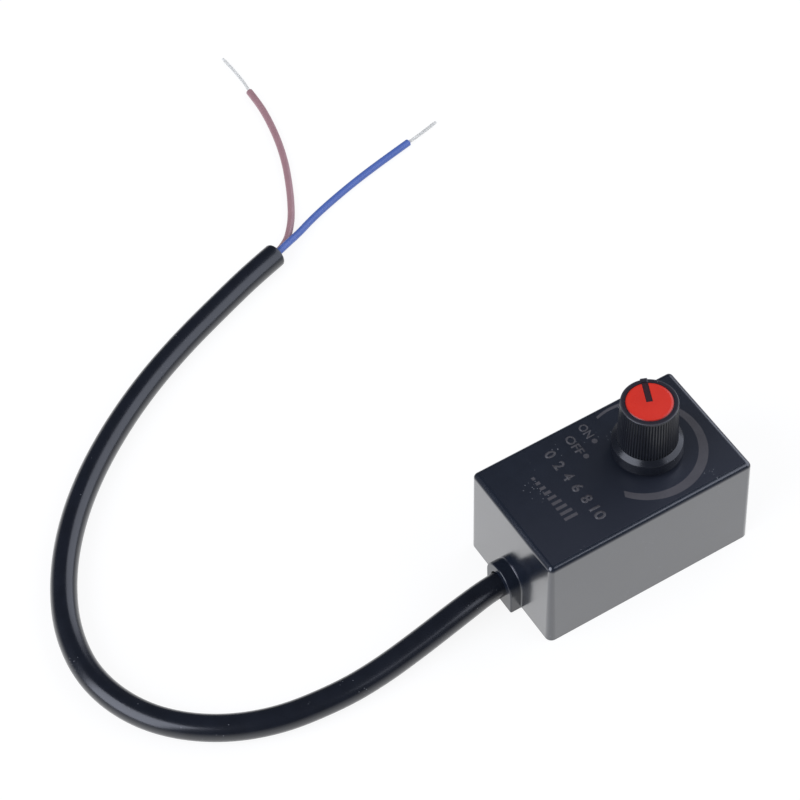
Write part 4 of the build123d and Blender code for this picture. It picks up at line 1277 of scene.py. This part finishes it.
@dataclass
class Studio:
    """The pale floor, the soft light and the camera."""

    azimuth: float = 61.18
    elevation: float = 51.83
    roll: float = -3.387
    distance: float = 574.26 * MM
    target: Point = (-0.048658, -0.021401, 0.01)
    lens: float = 120.27
    nearest: float = 0.01
    farthest: float = 20.0
    floor_half: float = 2.5
    floor_colour: Colour = (0.8, 0.8, 0.8)
    floor_white: float = 1.12
    floor_share: float = 0.78
    lit_reach: tuple[float, float] = (0.033, 0.07)
    lit_slant: tuple[float, float] = (0.5, 0.85)
    far_floor: float = 0.38
    slant_blend: float = 0.5
    ambient: float = 0.45
    dark_colour: Colour = (0.045, 0.05, 0.065)
    boxes: tuple[SoftBox, ...] = (
        SoftBox("front_box", azimuth=-88.0, elevation=28.0, width=0.95, height=1.1, radiance=2.6),
        SoftBox("back_box", azimuth=76.0, elevation=31.0, width=2.0, height=1.2, radiance=1.35),
    )

    def build(self) -> None:
        """Makes the whole studio."""
        self.make_floor()
        self.make_world()
        for box in self.boxes:
            box.build()
        self.make_camera()
        bpy.context.scene.view_settings.view_transform = "Standard"

    def make_floor(self) -> None:
        """A wide pale floor, white to the camera, and white in reflections close to the object."""
        form = bmesh.new()
        bmesh.ops.create_grid(form, x_segments=1, y_segments=1, size=self.floor_half)
        floor = Workshop.piece("floor", form)
        material = bpy.data.materials.new("pale_floor")
        material.use_nodes = True
        wiring = Wiring(material.node_tree)
        path = wiring.add("LightPath")
        diffuse = wiring.add("BsdfDiffuse", {"Color": wiring.opaque(self.floor_colour)})
        mirrored = wiring.mirrored(path)
        seen = wiring.math("MAXIMUM", path.outputs["Is Camera Ray"], mirrored)
        share = wiring.math("MULTIPLY", seen, self.floor_share)
        facing = wiring.add("LayerWeight", {"Blend": self.slant_blend}).outputs["Facing"]
        steep = wiring.span(facing, *self.lit_slant, 1.0, self.far_floor)
        fading = wiring.span(path.outputs["Ray Length"], *self.lit_reach, self.floor_white, self.far_floor)
        fading = wiring.math("MULTIPLY", wiring.math("MULTIPLY", fading, steep), mirrored)
        direct = wiring.math("MULTIPLY", path.outputs["Is Camera Ray"], self.floor_white)
        white = wiring.add("Emission", {"Strength": wiring.math("ADD", fading, direct)})
        both = wiring.add("MixShader", {0: share, 1: diffuse.outputs[0], 2: white.outputs[0]})
        wiring.add("OutputMaterial", {"Surface": both.outputs[0]})
        floor.data.materials.append(material)
        log.info("made the floor")

    def make_world(self) -> None:
        """White behind the object, a dark room in its reflections, and plain light on it."""
        world = bpy.data.worlds.new("studio")
        bpy.context.scene.world = world
        world.use_nodes = True
        wiring = Wiring(world.node_tree)
        path = wiring.add("LightPath")
        plain = wiring.add("Background", {"Strength": self.ambient})
        white = wiring.add("Background", {"Strength": 1.0})
        dark = wiring.add("Background", {"Color": wiring.opaque(self.dark_colour)})
        first = wiring.add("MixShader", {0: wiring.mirrored(path), 1: plain.outputs[0], 2: dark.outputs[0]})
        direct = path.outputs["Is Camera Ray"]
        last = wiring.add("MixShader", {0: direct, 1: first.outputs[0], 2: white.outputs[0]})
        wiring.add("OutputWorld", {"Surface": last.outputs[0]})
        log.info("made the world")

    def make_camera(self) -> None:
        """The camera at the photograph's view."""
        yaw, pitch, tilt = radians(self.azimuth), radians(self.elevation), radians(self.roll)
        back = Vector((sin(yaw) * cos(pitch), -cos(yaw) * cos(pitch), sin(pitch)))
        level = Vector((cos(yaw), sin(yaw), 0.0))
        upright = back.cross(level)
        right = cos(tilt) * level + sin(tilt) * upright
        up = cos(tilt) * upright - sin(tilt) * level
        data = bpy.data.cameras.new("camera")
        data.lens = self.lens
        data.clip_start = self.nearest
        data.clip_end = self.farthest
        camera = linked("camera", data)
        turn = Matrix((right, up, back)).transposed().to_4x4()
        camera.matrix_world = Matrix.Translation(Vector(self.target) + self.distance * back) @ turn
        bpy.context.scene.camera = camera
        log.info("made the camera")


def main() -> None:
    """Builds the object's pieces and the studio round it."""
    logging.basicConfig(level=logging.INFO, format="%(name)s: %(message)s")
    workshop = Workshop()
    Cord().build(workshop)
    Case().build(workshop)
    Knob().build(workshop)
    Inside().build(workshop)
    Studio().build()


if __name__ == "__main__":
    main()
